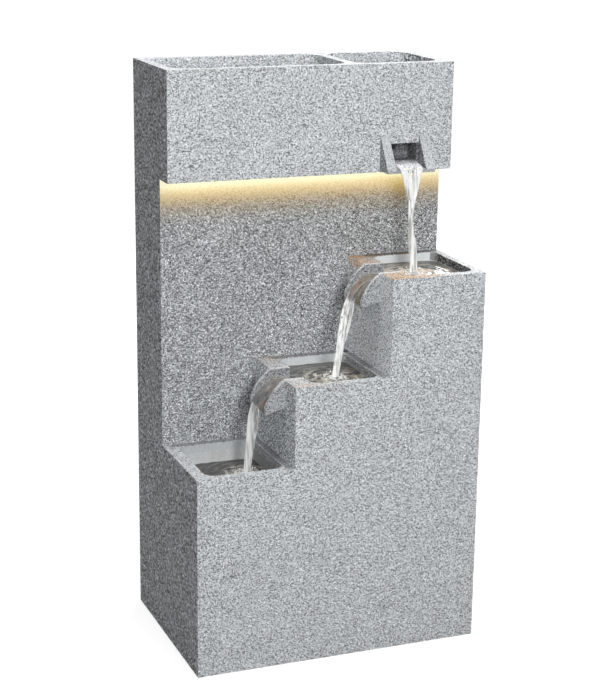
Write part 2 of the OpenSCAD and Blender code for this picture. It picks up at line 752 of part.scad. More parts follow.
// The two low-voltage leads, whole from their ends inside to the grommet in the back wall.
lead_step = 16;
lead_inset = 24;
pump_lead_x = spout_x + 2 * lead_step;
lead_x = pump_lead_x + lead_step;
grommet_x = (lead_x + pump_lead_x) / 2;
grommet_r = 14;
grommet_lip = 3;
grommet_face = 2;
lead_room = 0.3;
pump_lead_bend = 12;
light_lead_bend = 8;
light_lead_stand_off = 12;
light_lead_y = inner_back_y - light_lead_stand_off;
lead_end_y = inner_back_y - grommet_face;
module pump_lead() color([0.05, 0.05, 0.05])
    run([[pump_lead_x, pump_y, pump_top], [pump_lead_x, pump_y, grommet_z],
        [pump_lead_x, lead_end_y, grommet_z]], pump_lead_bend, pump_lead_r);
light_lead_top = service_low + lead_inset;
module light_lead() color([0.05, 0.05, 0.05])
    run([[lead_x, channel_mid_y, strip_z + strip_thick], [lead_x, channel_mid_y, light_lead_top],
        [lead_x, light_lead_y, light_lead_top], [lead_x, light_lead_y, grommet_z],
        [lead_x, lead_end_y, grommet_z]], light_lead_bend, light_lead_r);
lead_clip_heights = [0.45, 0.62, 0.8];
lead_clip_wall = 2;
lead_clip_high = 10;
module lead_clips() color("white") for (share = lead_clip_heights)
    translate([lead_x, 0, share * header_z]) difference() {
        block([-light_lead_r - lead_clip_wall, light_lead_y - light_lead_r - lead_clip_wall,
                -lead_clip_high / 2],
            [light_lead_r + lead_clip_wall, inner_back_y, lead_clip_high / 2]);
        rod_z(-lead_clip_high, lead_clip_high, 0, light_lead_y, light_lead_r);
    }
module cable_grommet() color([0.08, 0.08, 0.08]) difference() {
    union() {
        rod_y(inner_back_y, back_y, grommet_x, grommet_z, grommet_r);
        rod_y(lead_end_y, inner_back_y, grommet_x, grommet_z, grommet_r + grommet_lip);
    }
    rod_y(inner_back_y + grommet_face, back_y + past, pump_lead_x, grommet_z, pump_lead_r);
    rod_y(inner_back_y + grommet_face, back_y + past, lead_x, grommet_z, light_lead_r);
}

// The light: a strip in a channel sunk into the overhang, behind a diffuser.
channel_x = side_x - channel_end_gap;
channel_front_y = header_y + channel_setback;
channel_back_y = channel_front_y + channel_width;
channel_mid_y = (channel_front_y + channel_back_y) / 2;
channel_base = header_z + channel_recess;
channel_top = channel_base + channel_height;
strip_z = channel_top - channel_wall - strip_thick;
cap_thick = 2;
module light_channel() color("silver") difference() {
    block([-channel_x + cap_thick, channel_front_y, channel_base],
        [channel_x - cap_thick, channel_back_y, channel_top]);
    block([-channel_x, channel_front_y + channel_wall, channel_base - past],
        [channel_x, channel_back_y - channel_wall, channel_top - channel_wall]);
    rod_z(strip_z, channel_top + past, lead_x, channel_mid_y, light_lead_r + lead_room);
}
chip = [5, 3, 1.4];
strip_end = channel_x - 2 * cap_thick;
chip_end = strip_end - chip.x;
module light_strip() color([1, 0.93, 0.75]) {
    block([-strip_end, channel_mid_y - strip_width / 2, strip_z],
        [strip_end, channel_mid_y + strip_width / 2, strip_z + strip_thick]);
    for (i = [0 : chip_count - 1])
        translate([mix(-chip_end, chip_end, i / (chip_count - 1)), channel_mid_y, strip_z])
            block([-chip.x / 2, -chip.y / 2, -chip.z],
                [chip.x / 2, chip.y / 2, strip_thick / 2]);
}
module light_diffuser() color("white")
    block([-channel_x + cap_thick, channel_front_y + channel_wall, channel_base],
        [channel_x - cap_thick, channel_back_y - channel_wall, channel_base + diffuser_thick]);
module channel_end_caps() color(grey_plastic) for (side = [-1, 1]) {
    inner = side * (channel_x - cap_thick);
    outer = side * channel_x;
    block([min(inner, outer), channel_front_y, channel_base],
        [max(inner, outer), channel_back_y, channel_top]);
}

// The rear door: it turns on two pins at its left edge and is held shut by a magnet.
door_outer_y = back_y;
door_inner_y = back_y - door_thick;
pivot_y = (door_outer_y + door_inner_y) / 2;
pivot_x = frame_low.x + door_gap + door_thick / 2;
pin_in_door = 14;
pin_in_wall = 10;
notch_r = 9;
module access_door() color(dark_plastic) difference() {
    union() {
        block([pivot_x, door_inner_y, frame_low.y + door_gap],
            [frame_high.x - door_gap, door_outer_y, frame_high.y - door_gap]);
        rod_z(frame_low.y + door_gap, frame_high.y - door_gap, pivot_x, pivot_y,
            door_thick / 2);
    }
    for (z = [frame_low.y, frame_high.y])
        rod_z(z - pin_in_door, z + pin_in_door, pivot_x, pivot_y, pin_r + shaft_gap);
    rod_y(door_inner_y - past, door_outer_y + past, frame_high.x - door_gap,
        (frame_low.y + frame_high.y) / 2, notch_r);
    strike_block(door_inner_y - past);
}
frame_thick = 6;
frame_border = 14;
frame_y = inner_back_y;
module door_frame() color(dark_plastic) difference() {
    frame_block(frame_border, frame_y - frame_thick, frame_y);
    frame_block(-frame_lip, frame_y - frame_thick - past, frame_y + past);
    rod_y(frame_y - frame_thick - past, frame_y + past, magnet_x, strike_z, magnet_r);
}
module frame_block(beyond, ya, yb)
    block([frame_low.x - beyond, ya, frame_low.y - beyond],
        [frame_high.x + beyond, yb, frame_high.y + beyond]);
gasket_width = 4;
module door_gasket() color([0.05, 0.05, 0.05]) difference() {
    frame_block(gasket_width - frame_lip, frame_y, door_inner_y - clear);
    frame_block(-frame_lip, frame_y - past, door_inner_y + past);
}
module hinge_pins() color(steel) {
    rod_z(frame_low.y - pin_in_wall, frame_low.y + pin_in_door, pivot_x, pivot_y, pin_r);
    rod_z(frame_high.y - pin_in_door, frame_high.y + pin_in_wall, pivot_x, pivot_y, pin_r);
}
module hinge_pin_holes() {
    rod_z(frame_low.y - pin_in_wall, frame_low.y + past, pivot_x, pivot_y, pin_r);
    rod_z(frame_high.y - past, frame_high.y + pin_in_wall, pivot_x, pivot_y, pin_r);
}
magnet_r = 3;
magnet_x = frame_high.x - door_gap - magnet_r;
strike_z = mix(frame_low.y, frame_high.y, 0.75);
strike_size = 5;
strike_thick = 1;
module door_magnet() color("dimgray")
    rod_y(frame_y - frame_thick, door_inner_y - clear, magnet_x, strike_z, magnet_r);
module door_strike() color(steel) strike_block(door_inner_y);
module strike_block(ya)
    block([magnet_x - strike_size / 2, ya, strike_z - strike_size / 2],
        [magnet_x + strike_size / 2, door_inner_y + strike_thick, strike_z + strike_size / 2]);

// The drain through the reservoir's and the tower's back walls.
drain_z = tub_floor_z + drain_height;
drain_wall = 4;
drain_body_r = drain_r + drain_wall;
drain_flange_r = drain_body_r + drain_wall;
drain_flange = 3;
drain_inner_y = tub_high.y - tub_wall - drain_flange;
drain_nut_height = 5;
plug_head_r = drain_body_r - 1;
plug_head = 3;
drain_end_y = back_y - plug_head;
plug_gap = 0.1;
plug_length = 16;
module drain_bush() color(grey_plastic) difference() {
    union() {
        rod_y(drain_inner_y, drain_inner_y + drain_flange, -drain_x, drain_z, drain_flange_r);
        rod_y(drain_inner_y, drain_end_y, -drain_x, drain_z, drain_body_r);
    }
    rod_y(drain_inner_y - past, drain_end_y + past, -drain_x, drain_z, drain_r);
}
module drain_nut() color(dark_plastic) difference() {
    rod_y(tub_high.y, tub_high.y + drain_nut_height, -drain_x, drain_z, drain_flange_r);
    rod_y(tub_high.y - past, tub_high.y + drain_nut_height + past, -drain_x, drain_z,
        drain_body_r);
}
seal_y = drain_end_y - plug_length / 2;
seal_r = 1;
seal_room = 0.05;
seal_ring_r = drain_r - seal_r - seal_room;
coin_slot = 2.4;
module drain_plug() color([0.1, 0.1, 0.1]) difference() {
    union() {
        rod_y(drain_end_y - plug_length, drain_end_y + past, -drain_x, drain_z,
            drain_r - plug_gap);
        rod_y(drain_end_y, back_y, -drain_x, drain_z, plug_head_r);
    }
    seal_turn() translate([-seal_r - seal_room, -seal_r - seal_room])
        square([4 * seal_r, 2 * (seal_r + seal_room)]);
    block([-drain_x - drain_r, back_y - plug_head / 2, drain_z - coin_slot / 2],
        [-drain_x + drain_r, back_y + past, drain_z + coin_slot / 2]);
}
module plug_seal() color("dimgray") seal_turn() circle(seal_r, $fn = 32);
module seal_turn() translate([-drain_x, seal_y, drain_z]) rotate([-90, 0, 0])
    rotate_extrude($fn = 96) translate([seal_ring_r, 0]) children();

// The bungs in the soil compartments' drain holes.
bung_gap = 0.1;
bung_lip = 4;
bung_head = 3;
bung_grip_r = 4;
bung_height = 10;
module soil_bung(room) color([0.1, 0.1, 0.1]) translate([soil_drain_x(room), soil_drain_y, 0]) {
    rod_z(service_high, soil_z + past, 0, 0, soil_drain_r - bung_gap);
    rod_z(soil_z, soil_z + bung_head, 0, 0, soil_drain_r + bung_lip);
    rod_z(soil_z + past, soil_z + bung_height, 0, 0, bung_grip_r);
}
module large_planter_plug() soil_bung(soil_rooms[0]);
module small_planter_plug() soil_bung(soil_rooms[1]);

// Angle brackets that join the casing to the tower, and plates that join the box to the tower.
bracket_leg = 36;
bracket_thick = 3;
bracket_width = 36;
bracket_screw = 22;
bracket_low = (passage_height + lower_rim - rim_plate) / 2;
bracket_high = upper[FLOOR] - bracket_width;
bracket_spots = [[-1, bracket_low], for (i = [0 : 2]) [1, mix(bracket_low, bracket_high, i / 2)]];
module joint_brackets() color(steel) difference() {
    at_brackets() {
        block([-bracket_thick, -bracket_leg, -bracket_width / 2], [0, 0, bracket_width / 2]);
        block([-bracket_leg, -bracket_thick, -bracket_width / 2], [0, 0, bracket_width / 2]);
    }
    bracket_shanks();
}
// Drawn in the right corner between the side wall and the tower's front, and mirrored for the
// left one.
module at_brackets() for (spot = bracket_spots)
    mirror([spot[0] < 0 ? 1 : 0, 0, 0]) translate([inner_x, panel_y, spot[1]]) children();

screw_r = 2;
screw_head_r = 4;
screw_head = 2.5;
screw_grip = 6;
module bracket_shanks() at_brackets() {
    rod_x(-bracket_thick, screw_grip, -bracket_screw, 0, screw_r);
    rod_y(-bracket_thick, screw_grip, -bracket_screw, 0, screw_r);
}
module bracket_heads() at_brackets() {
    rod_x(-bracket_thick - screw_head, -bracket_thick, -bracket_screw, 0, screw_head_r);
    rod_y(-bracket_thick - screw_head, -bracket_thick, -bracket_screw, 0, screw_head_r);
}
tie_plate = [30, 3, 48];
tie_screw = 13;
tie_spots = [-0.7 * side_x, 0.1 * side_x];
module tie_plates() color(steel) difference() {
    at_ties() block([-tie_plate.x / 2, -tie_plate.y, -tie_plate.z / 2],
        [tie_plate.x / 2, 0, tie_plate.z / 2]);
    tie_shanks();
}
module at_ties() for (x = tie_spots) translate([x, inner_back_y, header_z]) children();
module tie_shanks() at_ties() for (z = [-tie_screw, tie_screw])
    rod_y(-tie_plate.y, screw_grip, 0, z, screw_r);
module tie_heads() at_ties() for (z = [-tie_screw, tie_screw])
    rod_y(-tie_plate.y - screw_head, -tie_plate.y, 0, z, screw_head_r);
module fixing_screws() color(steel) {
    bracket_shanks();
    bracket_heads();
    tie_shanks();
    tie_heads();
}

// The water that shows: a pool in each basin and the three falls.
module pool(s) basin_space(s, s[FLOOR] + clear, s[LEVEL], -clear);
module upper_pool() color(water) pool(upper);
module middle_pool() color(water) pool(middle);
module lower_pool() color(water) difference() {
    pool(lower);
    rod_z(lower[FLOOR], lower_rim, overflow_x, overflow_y, strainer_r + clear);
    rod_z(lower[FLOOR], lower[FLOOR] + overflow_flange_t + clear, overflow_x, overflow_y,
        overflow_r + overflow_flange + clear);
}

// A stream starts as a film on a trough or chute, leaves the lip and falls free to a pool.
film = 3;
film_steps = 5;
fall_steps = 6;
early_drop = 0.7;
film_wide = weir_width - 2 * weir_cheek - 2 * past;
stream_wide = 24;
stream_setback = weir_cheek + stream_wide / 2 + past;
stream_foot = 18;
foot_thick = 7;
film_room = clear + film / 2;
function trough_point(t) =
    let (c = arc_centre(trough_start, trough_end, trough_radius), p = trough_start - c,
        q = trough_end - c, turn = mix(atan2(p.y, p.x), atan2(q.y, q.x), t))
    [c + (trough_radius + film_room) * [cos(turn), sin(turn)], [sin(turn), -cos(turn)]];
function film_station(s, ya, yb, t) =
    let (p = trough_point(t))
    [[s[LEFT] - p[0].x, mix(ya, yb, t), s[RIM] + p[0].y], mix(film_wide, stream_wide, t), film,
        [-p[1].x, 0, p[1].y]];
function fall_station(from, to, wide, thick, t) =
    let (down = early_drop * t + (1 - early_drop) * t * t,
        speed = early_drop + 2 * (1 - early_drop) * t)
    [[mix(from.x, to.x, t), mix(from.y, to.y, t), mix(from.z, to.z, down)], wide, thick,
        t == 1 ? [0, 0, -1] : [to.x - from.x, to.y - from.y, (to.z - from.z) * speed]];
middle_y = (weir_front_y + weir_back_y) / 2;
stream_y = weir_back_y - stream_setback;
module weir_fall(s, below, lands) {
    start = [s[LEFT] + spill_rim - past, middle_y, s[RIM] - trough_depth + film_room];
    trough = [for (i = [0 : film_steps])
        film_station(s, middle_y, stream_y, i / film_steps)];
    from = trough[film_steps][0] - [past, 0, 0];
    to = [lands.x, lands.y, below[LEVEL] + clear];
    free = [for (i = [1 : fall_steps]) let (t = i / fall_steps)
        fall_station(from, to, mix(stream_wide, stream_foot, t), mix(film, foot_thick, t), t)];
    stream(concat([[start, film_wide, film, [-1, 0, 0]]], trough, free), [0, 1, 0]);
}
upper_throw = 68;
lower_throw = 50;
stream_drift = 24;
module upper_fall() color(water)
    weir_fall(upper, middle, [upper[LEFT] - upper_throw, stream_y - stream_drift]);
module lower_fall() color(water)
    weir_fall(middle, lower, [middle[LEFT] - lower_throw, stream_y]);
chute_film_wide = mouth_right - mouth_left - 2 * past;
rope_wide = 13;
rope_start = 0.35;
top_throw = 16;
top_steps = 8;
module top_fall() color(water) {
    slope = [0, header_y + wall - nose_y, chute_height - spout_lip];
    high = [spout_x, header_y + wall, header_z + chute_height + film_room];
    lip = high - slope - [0, film, 0];
    to = [spout_x, nose_y - top_throw, upper[LEVEL] + clear];
    free = [for (i = [1 : top_steps]) let (t = i / top_steps)
        fall_station(lip, to, mix(chute_film_wide, rope_wide, min(1, t / rope_start)),
            mix(film, foot_thick, t), t)];
    stream(concat([[high, chute_film_wide, film, -slope], [lip, chute_film_wide, film, -slope]],
        free), [1, 0, 0]);
}

tower_shell();
stepped_casing();
planter_box();
base_board();
upper_basin();
middle_basin();
lower_basin();
upper_weir();
middle_weir();
top_spout();
spout_inlet();
reservoir_tub();
overflow_pipe();
overflow_nut();
basin_strainer();
pump_body();
impeller_cover();
impeller();
impeller_shaft();
shaft_bushes();
intake_strainer();
flow_dial();
pump_outlet();
pump_feet();
riser_hose();
hose_clamps();
hose_clips();
pump_lead();
light_lead();
lead_clips();
cable_grommet();
light_channel();
light_strip();
light_diffuser();
channel_end_caps();
access_door();
door_frame();
door_gasket();
hinge_pins();
door_magnet();
door_strike();
drain_bush();
drain_nut();
drain_plug();
plug_seal();
large_planter_plug();
small_planter_plug();
joint_brackets();
tie_plates();
fixing_screws();
upper_pool();
middle_pool();
lower_pool();
top_fall();
upper_fall();
lower_fall();
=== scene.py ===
import json
import math
import random

import bmesh
import bpy
from bpy.props import FloatProperty, FloatVectorProperty, IntProperty, PointerProperty
from mathutils import Matrix, Vector, noise

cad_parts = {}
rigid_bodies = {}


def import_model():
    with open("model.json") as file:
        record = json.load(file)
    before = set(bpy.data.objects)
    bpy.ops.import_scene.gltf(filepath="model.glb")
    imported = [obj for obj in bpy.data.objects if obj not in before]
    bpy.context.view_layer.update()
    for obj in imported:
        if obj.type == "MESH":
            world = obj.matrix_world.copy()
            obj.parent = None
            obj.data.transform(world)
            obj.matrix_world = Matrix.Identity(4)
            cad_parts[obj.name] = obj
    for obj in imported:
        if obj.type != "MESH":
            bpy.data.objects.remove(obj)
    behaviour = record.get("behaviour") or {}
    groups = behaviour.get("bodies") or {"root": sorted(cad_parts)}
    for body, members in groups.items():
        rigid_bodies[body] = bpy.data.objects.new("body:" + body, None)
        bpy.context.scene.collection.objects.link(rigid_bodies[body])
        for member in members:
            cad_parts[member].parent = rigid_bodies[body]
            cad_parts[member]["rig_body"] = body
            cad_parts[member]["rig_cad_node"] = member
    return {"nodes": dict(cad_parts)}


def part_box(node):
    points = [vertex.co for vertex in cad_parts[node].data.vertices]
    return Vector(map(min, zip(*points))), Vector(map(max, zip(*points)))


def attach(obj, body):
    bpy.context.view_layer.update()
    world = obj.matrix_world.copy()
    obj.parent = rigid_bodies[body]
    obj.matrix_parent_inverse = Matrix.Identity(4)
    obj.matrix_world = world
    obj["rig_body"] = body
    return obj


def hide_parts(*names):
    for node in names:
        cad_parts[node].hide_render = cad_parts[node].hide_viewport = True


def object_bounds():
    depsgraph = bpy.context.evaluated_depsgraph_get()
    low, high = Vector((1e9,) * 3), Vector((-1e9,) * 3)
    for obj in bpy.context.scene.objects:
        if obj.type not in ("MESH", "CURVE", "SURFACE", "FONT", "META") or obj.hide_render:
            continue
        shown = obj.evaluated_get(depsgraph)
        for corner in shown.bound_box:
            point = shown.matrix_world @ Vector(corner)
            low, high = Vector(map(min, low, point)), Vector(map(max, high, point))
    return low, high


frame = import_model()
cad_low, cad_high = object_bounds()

bl_info = {
    "name": "Cascade fountain",
    "version": (1, 0, 0),
    "blender": (4, 5, 0),
    "location": "3D View > Sidebar > Fountain",
    "description": "Dresses a stepped cascade fountain with stone, water and light",
    "category": "Object",
}

MM = 0.001


# Settings that a user would change

def number(name, description, default, low, high, **kind):
    return FloatProperty(name=name, description=description, default=default, min=low, max=high,
                         **kind)


def length(name, description, default, low, high):
    """A length, given in millimetres."""
    return number(name, description, default * MM, low * MM, high * MM, unit="LENGTH")


class StoneSettings(bpy.types.PropertyGroup):
    tint: FloatVectorProperty(
        name="Tint", description="Colour cast of the stone", subtype="COLOR",
        default=(0.958, 1.0, 1.038), min=0.0, max=2.0)
    shade: number("Shade", "Mean reflectance of the stone", 0.50, 0.1, 0.9)
    # The panel behind the steps is painted darker than the fronts: painted shade from the overhang
    # above it and the steps before it
    panel_painted_shade: number(
        "Panel shade", "Mean reflectance of the shaded panel behind the steps", 0.262, 0.1, 0.9)
    grain: length("Grain", "Width of the speckle's grains", 1.4, 0.5, 10)
    contrast: number("Contrast", "How far the grains differ from the ground", 1.0, 0.0, 2.0)
    edge: length("Edge", "Width of the rounding along the moulded edges", 1.3, 0.2, 4)


class WaterSettings(bpy.types.PropertyGroup):
    ripple: length("Ripple", "Height of the rings round a fall", 1.3, 0, 5)
    ring: length("Ring spacing", "Distance from one ring to the next", 13, 5, 40)
    strands: IntProperty(
        name="Strands", description="Number of strands in a weir's fall", default=13, min=5, max=20)
    drops: IntProperty(
        name="Drops", description="Number of drops round the foot of a fall", default=26, min=0,
        max=80)


class GlowSettings(bpy.types.PropertyGroup):
    colour: FloatVectorProperty(
        name="Colour", description="Colour of the light under the overhang", subtype="COLOR",
        default=(1.0, 0.66, 0.26), min=0.0, max=1.0)
    strength: number("Strength", "Brightness of the diffuser", 2.8, 0.0, 60.0)


class StageSettings(bpy.types.PropertyGroup):
    eye: FloatVectorProperty(
        name="Eye", description="Place of the camera", subtype="XYZ", unit="LENGTH",
        default=(-1.0469, -2.6249, 1.2806))
    heading: FloatProperty(
        name="Heading", description="Turn of the camera about the vertical", subtype="ANGLE",
        default=math.radians(-21.537))
    pitch: FloatProperty(
        name="Pitch", description="Tilt of the camera", subtype="ANGLE",
        default=math.radians(-15.595))
    roll: FloatProperty(
        name="Roll", description="Lean of the camera", subtype="ANGLE",
        default=math.radians(0.696))
    lens: number("Lens", "Focal length", 88.6, 20.0, 200.0)
    key: number("Front light", "Power of the softbox in front", 45.0, 0.0, 1000.0, subtype="POWER")
    top: number("Top light", "Power of the softbox above", 80.0, 0.0, 1000.0, subtype="POWER")
    back: number("Back light", "Power of the softbox behind", 90.0, 0.0, 1000.0, subtype="POWER")
    sky: number("Sky", "Level of the light from all round", 0.136, 0.0, 1.0)


# Modelling helpers

def deselect_all():
    for item in bpy.context.selected_objects:
        item.select_set(False)


def activate(piece):
    deselect_all()
    piece.select_set(True)
    bpy.context.view_layer.objects.active = piece


class Editing:
    """Edit mode on one piece, where faces, edges or points are picked by a test."""

    MODES = {"verts": "VERT", "edges": "EDGE", "faces": "FACE"}

    def __init__(self, piece):
        self.piece = piece

    def __enter__(self):
        activate(self.piece)
        bpy.ops.object.mode_set(mode="EDIT")
        return self

    def __exit__(self, *failure):
        bpy.ops.object.mode_set(mode="OBJECT")

    def pick(self, kind, test):
        bpy.ops.mesh.select_mode(type=self.MODES[kind])
        bpy.ops.mesh.select_all(action="DESELECT")
        mesh = bmesh.from_edit_mesh(self.piece.data)
        for item in getattr(mesh, kind):
            if test(item):
                item.select_set(True)
        mesh.select_flush_mode()
        bmesh.update_edit_mesh(self.piece.data)

    def pick_all(self):
        bpy.ops.mesh.select_all(action="SELECT")

    def assign(self, slot):
        """Gives the picked faces the material in a slot."""
        self.piece.active_material_index = slot
        bpy.ops.object.material_slot_assign()


def rise(edge):
    return abs(edge.verts[0].co.z - edge.verts[1].co.z)


def name_piece(piece, name):
    piece.name = name
    piece.data.name = name
    return piece


def add_block(name, low, high):
    """A cube primitive from one corner to the other, with its place in its mesh."""
    deselect_all()
    low, high = Vector(low), Vector(high)
    bpy.ops.mesh.primitive_cube_add(size=1, location=(low + high) / 2, scale=high - low)
    bpy.ops.object.transform_apply(location=True, rotation=True, scale=True)
    return name_piece(bpy.context.active_object, name)


def apply_modifier(piece, kind, **settings):
    activate(piece)
    modifier = piece.modifiers.new(kind, kind)
    for key, value in settings.items():
        setattr(modifier, key, value)
    bpy.ops.object.modifier_apply(modifier=modifier.name)


def cut_away(piece, cutter):
    """Cuts one piece with another and removes the cutter."""
    apply_modifier(piece, "BOOLEAN", operation="DIFFERENCE", object=cutter, solver="EXACT")
    bpy.data.objects.remove(cutter)


def join(pieces, name):
    deselect_all()
    for piece in pieces:
        piece.select_set(True)
    bpy.context.view_layer.objects.active = pieces[0]
    bpy.ops.object.join()
    return name_piece(pieces[0], name)


def smooth(piece, degrees):
    activate(piece)
    bpy.ops.object.shade_smooth_by_angle(angle=math.radians(degrees))


def outward(piece):
    with Editing(piece) as edit:
        edit.pick_all()
        bpy.ops.mesh.remove_doubles(threshold=0.01 * MM)
        bpy.ops.mesh.normals_make_consistent(inside=False)


def paint(piece, *finishes):
    """Gives a piece these materials and no others."""
    piece.data.materials.clear()
    for finish in finishes:
        piece.data.materials.append(finish)


def dress(finish, *nodes):
    """Gives CAD nodes, whose shapes are right, their finish."""
    for node in nodes:
        paint(frame["nodes"][node], finish)


def settle(piece, body, slot, *finishes):
    """Gives a finished piece its materials and the body that it rides on; its slot is not used."""
    paint(piece, *finishes)
    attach(piece, body)


def welded_copy(node, name):
    """A copy of a CAD node with its triangles merged into whole flat faces."""
    activate(frame["nodes"][node])
    bpy.ops.object.duplicate()
    piece = name_piece(bpy.context.active_object, name)
    bpy.ops.object.parent_clear(type="CLEAR_KEEP_TRANSFORM")
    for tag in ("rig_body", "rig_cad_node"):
        del piece[tag]
    bpy.ops.mesh.customdata_custom_splitnormals_clear()
    with Editing(piece) as edit:
        edit.pick_all()
        bpy.ops.mesh.remove_doubles(threshold=0.005 * MM)
        bpy.ops.mesh.dissolve_limited(angle_limit=math.radians(0.3))
    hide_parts(node)
    return piece


def round_edges(piece, width, segments=3):
    """Rounds the sharp edges of a piece."""
    activate(piece)
    bpy.ops.object.shade_smooth()
    apply_modifier(piece, "BEVEL", width=width, segments=segments, limit_method="ANGLE",
                   angle_limit=math.radians(28), harden_normals=True, use_clamp_overlap=True,
                   miter_outer="MITER_ARC")


# Shader helpers

class Socket:
    """A shader socket that can be used in an expression on values."""

    def __init__(self, finish, socket):
        self.finish = finish
        self.socket = socket

    def maths(self, operation, first, second):
        return self.finish.node("ShaderNodeMath", {"operation": operation}, {0: first, 1: second})

    def __add__(self, other):
        return self.maths("ADD", self, other)

    def __radd__(self, other):
        return self.maths("ADD", other, self)

    def __sub__(self, other):
        return self.maths("SUBTRACT", self, other)

    def __rsub__(self, other):
        return self.maths("SUBTRACT", other, self)

    def __mul__(self, other):
        return self.maths("MULTIPLY", self, other)

    def __rmul__(self, other):
        return self.maths("MULTIPLY", other, self)

    def __gt__(self, other):
        return self.maths("GREATER_THAN", self, other)

    def __lt__(self, other):
        return self.maths("LESS_THAN", self, other)

    def at_least(self, level):
        return self.maths("MAXIMUM", self, level)


class Finish:
    """One material, or a world, built node by node."""

    def __init__(self, name, kind="materials"):
        self.owner = getattr(bpy.data, kind).new(name)
        self.owner.use_nodes = True
        self.tree = self.owner.node_tree
        self.tree.nodes.clear()

    def node(self, kind, settings=None, inputs=None, output=0):
        """Adds a node, sets it up, fills its sockets and returns one of its outputs."""
        made = self.tree.nodes.new(kind)
        for key, value in (settings or {}).items():
            if key == "stops":
                self.set_stops(made.color_ramp, value)
            else:
                setattr(made, key, value)
        for key, value in (inputs or {}).items():
            if isinstance(value, Socket):
                self.tree.links.new(value.socket, made.inputs[key])
            else:
                made.inputs[key].default_value = value
        return Socket(self, made.outputs[output]) if len(made.outputs) else made

    @staticmethod
    def set_stops(ramp, stops):
        while len(ramp.elements) < len(stops):
            ramp.elements.new(1.0)
        for element, (place, colour) in zip(ramp.elements, stops):
            element.position = place
            element.color = rgba(colour)

    def place(self):
        return self.node("ShaderNodeTexCoord", output="Object")

    def normal_part(self, axis):
        normal = self.node("ShaderNodeTexCoord", output="Normal")
        return self.node("ShaderNodeSeparateXYZ", inputs={0: normal}, output=axis)

    def place_part(self, axis):
        return self.node("ShaderNodeSeparateXYZ", inputs={0: self.place()}, output=axis)

    def vectors(self, operation, inputs, output=0):
        return self.node("ShaderNodeVectorMath", {"operation": operation}, inputs, output)

    def stretched(self, vector, scale):
        return self.vectors("MULTIPLY", {0: vector, 1: scale})

    def noise(self, vector, scale, detail=2.0, roughness=0.5):
        return self.node("ShaderNodeTexNoise", inputs={
            "Vector": vector, "Scale": scale, "Detail": detail, "Roughness": roughness})

    def scaled(self, vector, amount):
        return self.vectors("SCALE", {0: vector, "Scale": amount})

    def sine(self, value):
        return self.node("ShaderNodeMath", {"operation": "SINE"}, {0: value})

    def shaken(self, vector, scale, amount):
        """The place moved a little by noise, so that a pattern on it has ragged edges."""
        shift = self.node("ShaderNodeTexNoise", inputs={"Vector": vector, "Scale": scale},
                          output="Color")
        return self.vectors("ADD", {0: vector, 1: self.scaled(shift, amount)})

    def cells(self, vector, scale):
        """A random value for each cell of a cell pattern."""
        colour = self.node("ShaderNodeTexVoronoi", inputs={"Vector": vector, "Scale": scale},
                           output="Color")
        return self.node("ShaderNodeSeparateColor", inputs={0: colour})

    def dots(self, vector, scale, share, radius):
        """1 in round dots in the middle of some of the cells of a cell pattern."""
        away = self.node("ShaderNodeTexVoronoi", inputs={"Vector": vector, "Scale": scale},
                         output="Distance")
        draw = self.node("ShaderNodeSeparateColor",
                         inputs={0: Socket(self, away.socket.node.outputs["Color"])})
        return (away < radius) * (draw < share)

    def ramp(self, value, stops):
        return self.node("ShaderNodeValToRGB", {"stops": stops}, {0: value})

    def step(self, value, low, high):
        """0 under low, 1 over high and smooth between."""
        return self.node("ShaderNodeMapRange", {"interpolation_type": "SMOOTHSTEP"},
                         {0: value, 1: low, 2: high})

    def within(self, value, low, high, soft):
        """1 between two limits, with soft edges."""
        return self.step(value, low - soft, low) * (1 - self.step(value, high, high + soft))

    def span(self, axis, low, high, soft):
        """1 between two places along an axis, with soft edges."""
        return self.within(self.place_part(axis), low, high, soft)

    def mix(self, first, second, factor, blend="MIX"):
        return self.node("ShaderNodeMix", {"data_type": "RGBA", "blend_type": blend},
                         {0: factor, 6: rgba(first), 7: rgba(second)}, output=2)

    def tone(self, colour, level):
        """A colour times a value."""
        return self.mix(colour, self.grey(level), 1.0, "MULTIPLY")

    def grey(self, level):
        return self.node("ShaderNodeCombineColor", inputs={0: level, 1: level, 2: level})

    def distance(self, point):
        return self.vectors("DISTANCE", {0: self.place(), 1: point}, "Value")

    def bump(self, height, distance, strength):
        return self.node("ShaderNodeBump", inputs={
            "Height": height, "Distance": distance, "Strength": strength})

    def shader(self, **inputs):
        """A Principled shader. An underscore in a socket's name stands for a space."""
        named = {key.replace("_", " "): rgba(value) if isinstance(value, tuple) else value
                 for key, value in inputs.items()}
        return self.node("ShaderNodeBsdfPrincipled", inputs=named)

    def done(self, surface, kind="Material"):
        self.node("ShaderNodeOutput" + kind, inputs={"Surface": surface})
        return self.owner


def rgba(colour):
    return (*colour, 1.0) if isinstance(colour, tuple) and len(colour) == 3 else colour


# Finishes

# How far in from the fountain's own sides a face still counts as part of them
OUTER = 20 * MM
# The part of a normal from which a face starts to count as turned that way, and fully does
TURNED = (0.5, 0.9)
# Share by which the pattern shrinks on the fountain's own sides, so that its grains are coarser
SIDE_COARSER = 0.46
GRAIN_STRETCH = (1.0, 0.62, 1.0)
DARKEST = 0.05
WHITE = (1.0, 1.0, 1.0, 1.0)
ALGAE = (1.0, 0.70, 0.48)
SILT_STAIN = (0.23, 0.165, 0.105)
CAST_TINT = (0.95, 0.99, 1.0)
SWIRL = (0.62, 0.60, 0.54)
FROTH = (0.86, 0.88, 0.87)
# Colours of falling water: clear, white, and the painted shade of its edges
CLEAR_WATER, WHITE_WATER, WATER_EDGE_SHADE = (0.50, 0.51, 0.50), (0.93, 0.94, 0.93), (0.42, 0.43, 0.43)
# Colour of the painted glints and reflections on falling water
GLINT = (0.92, 0.90, 0.98)
WATER_IOR = 1.333
GLOW_REACH = 80 * MM
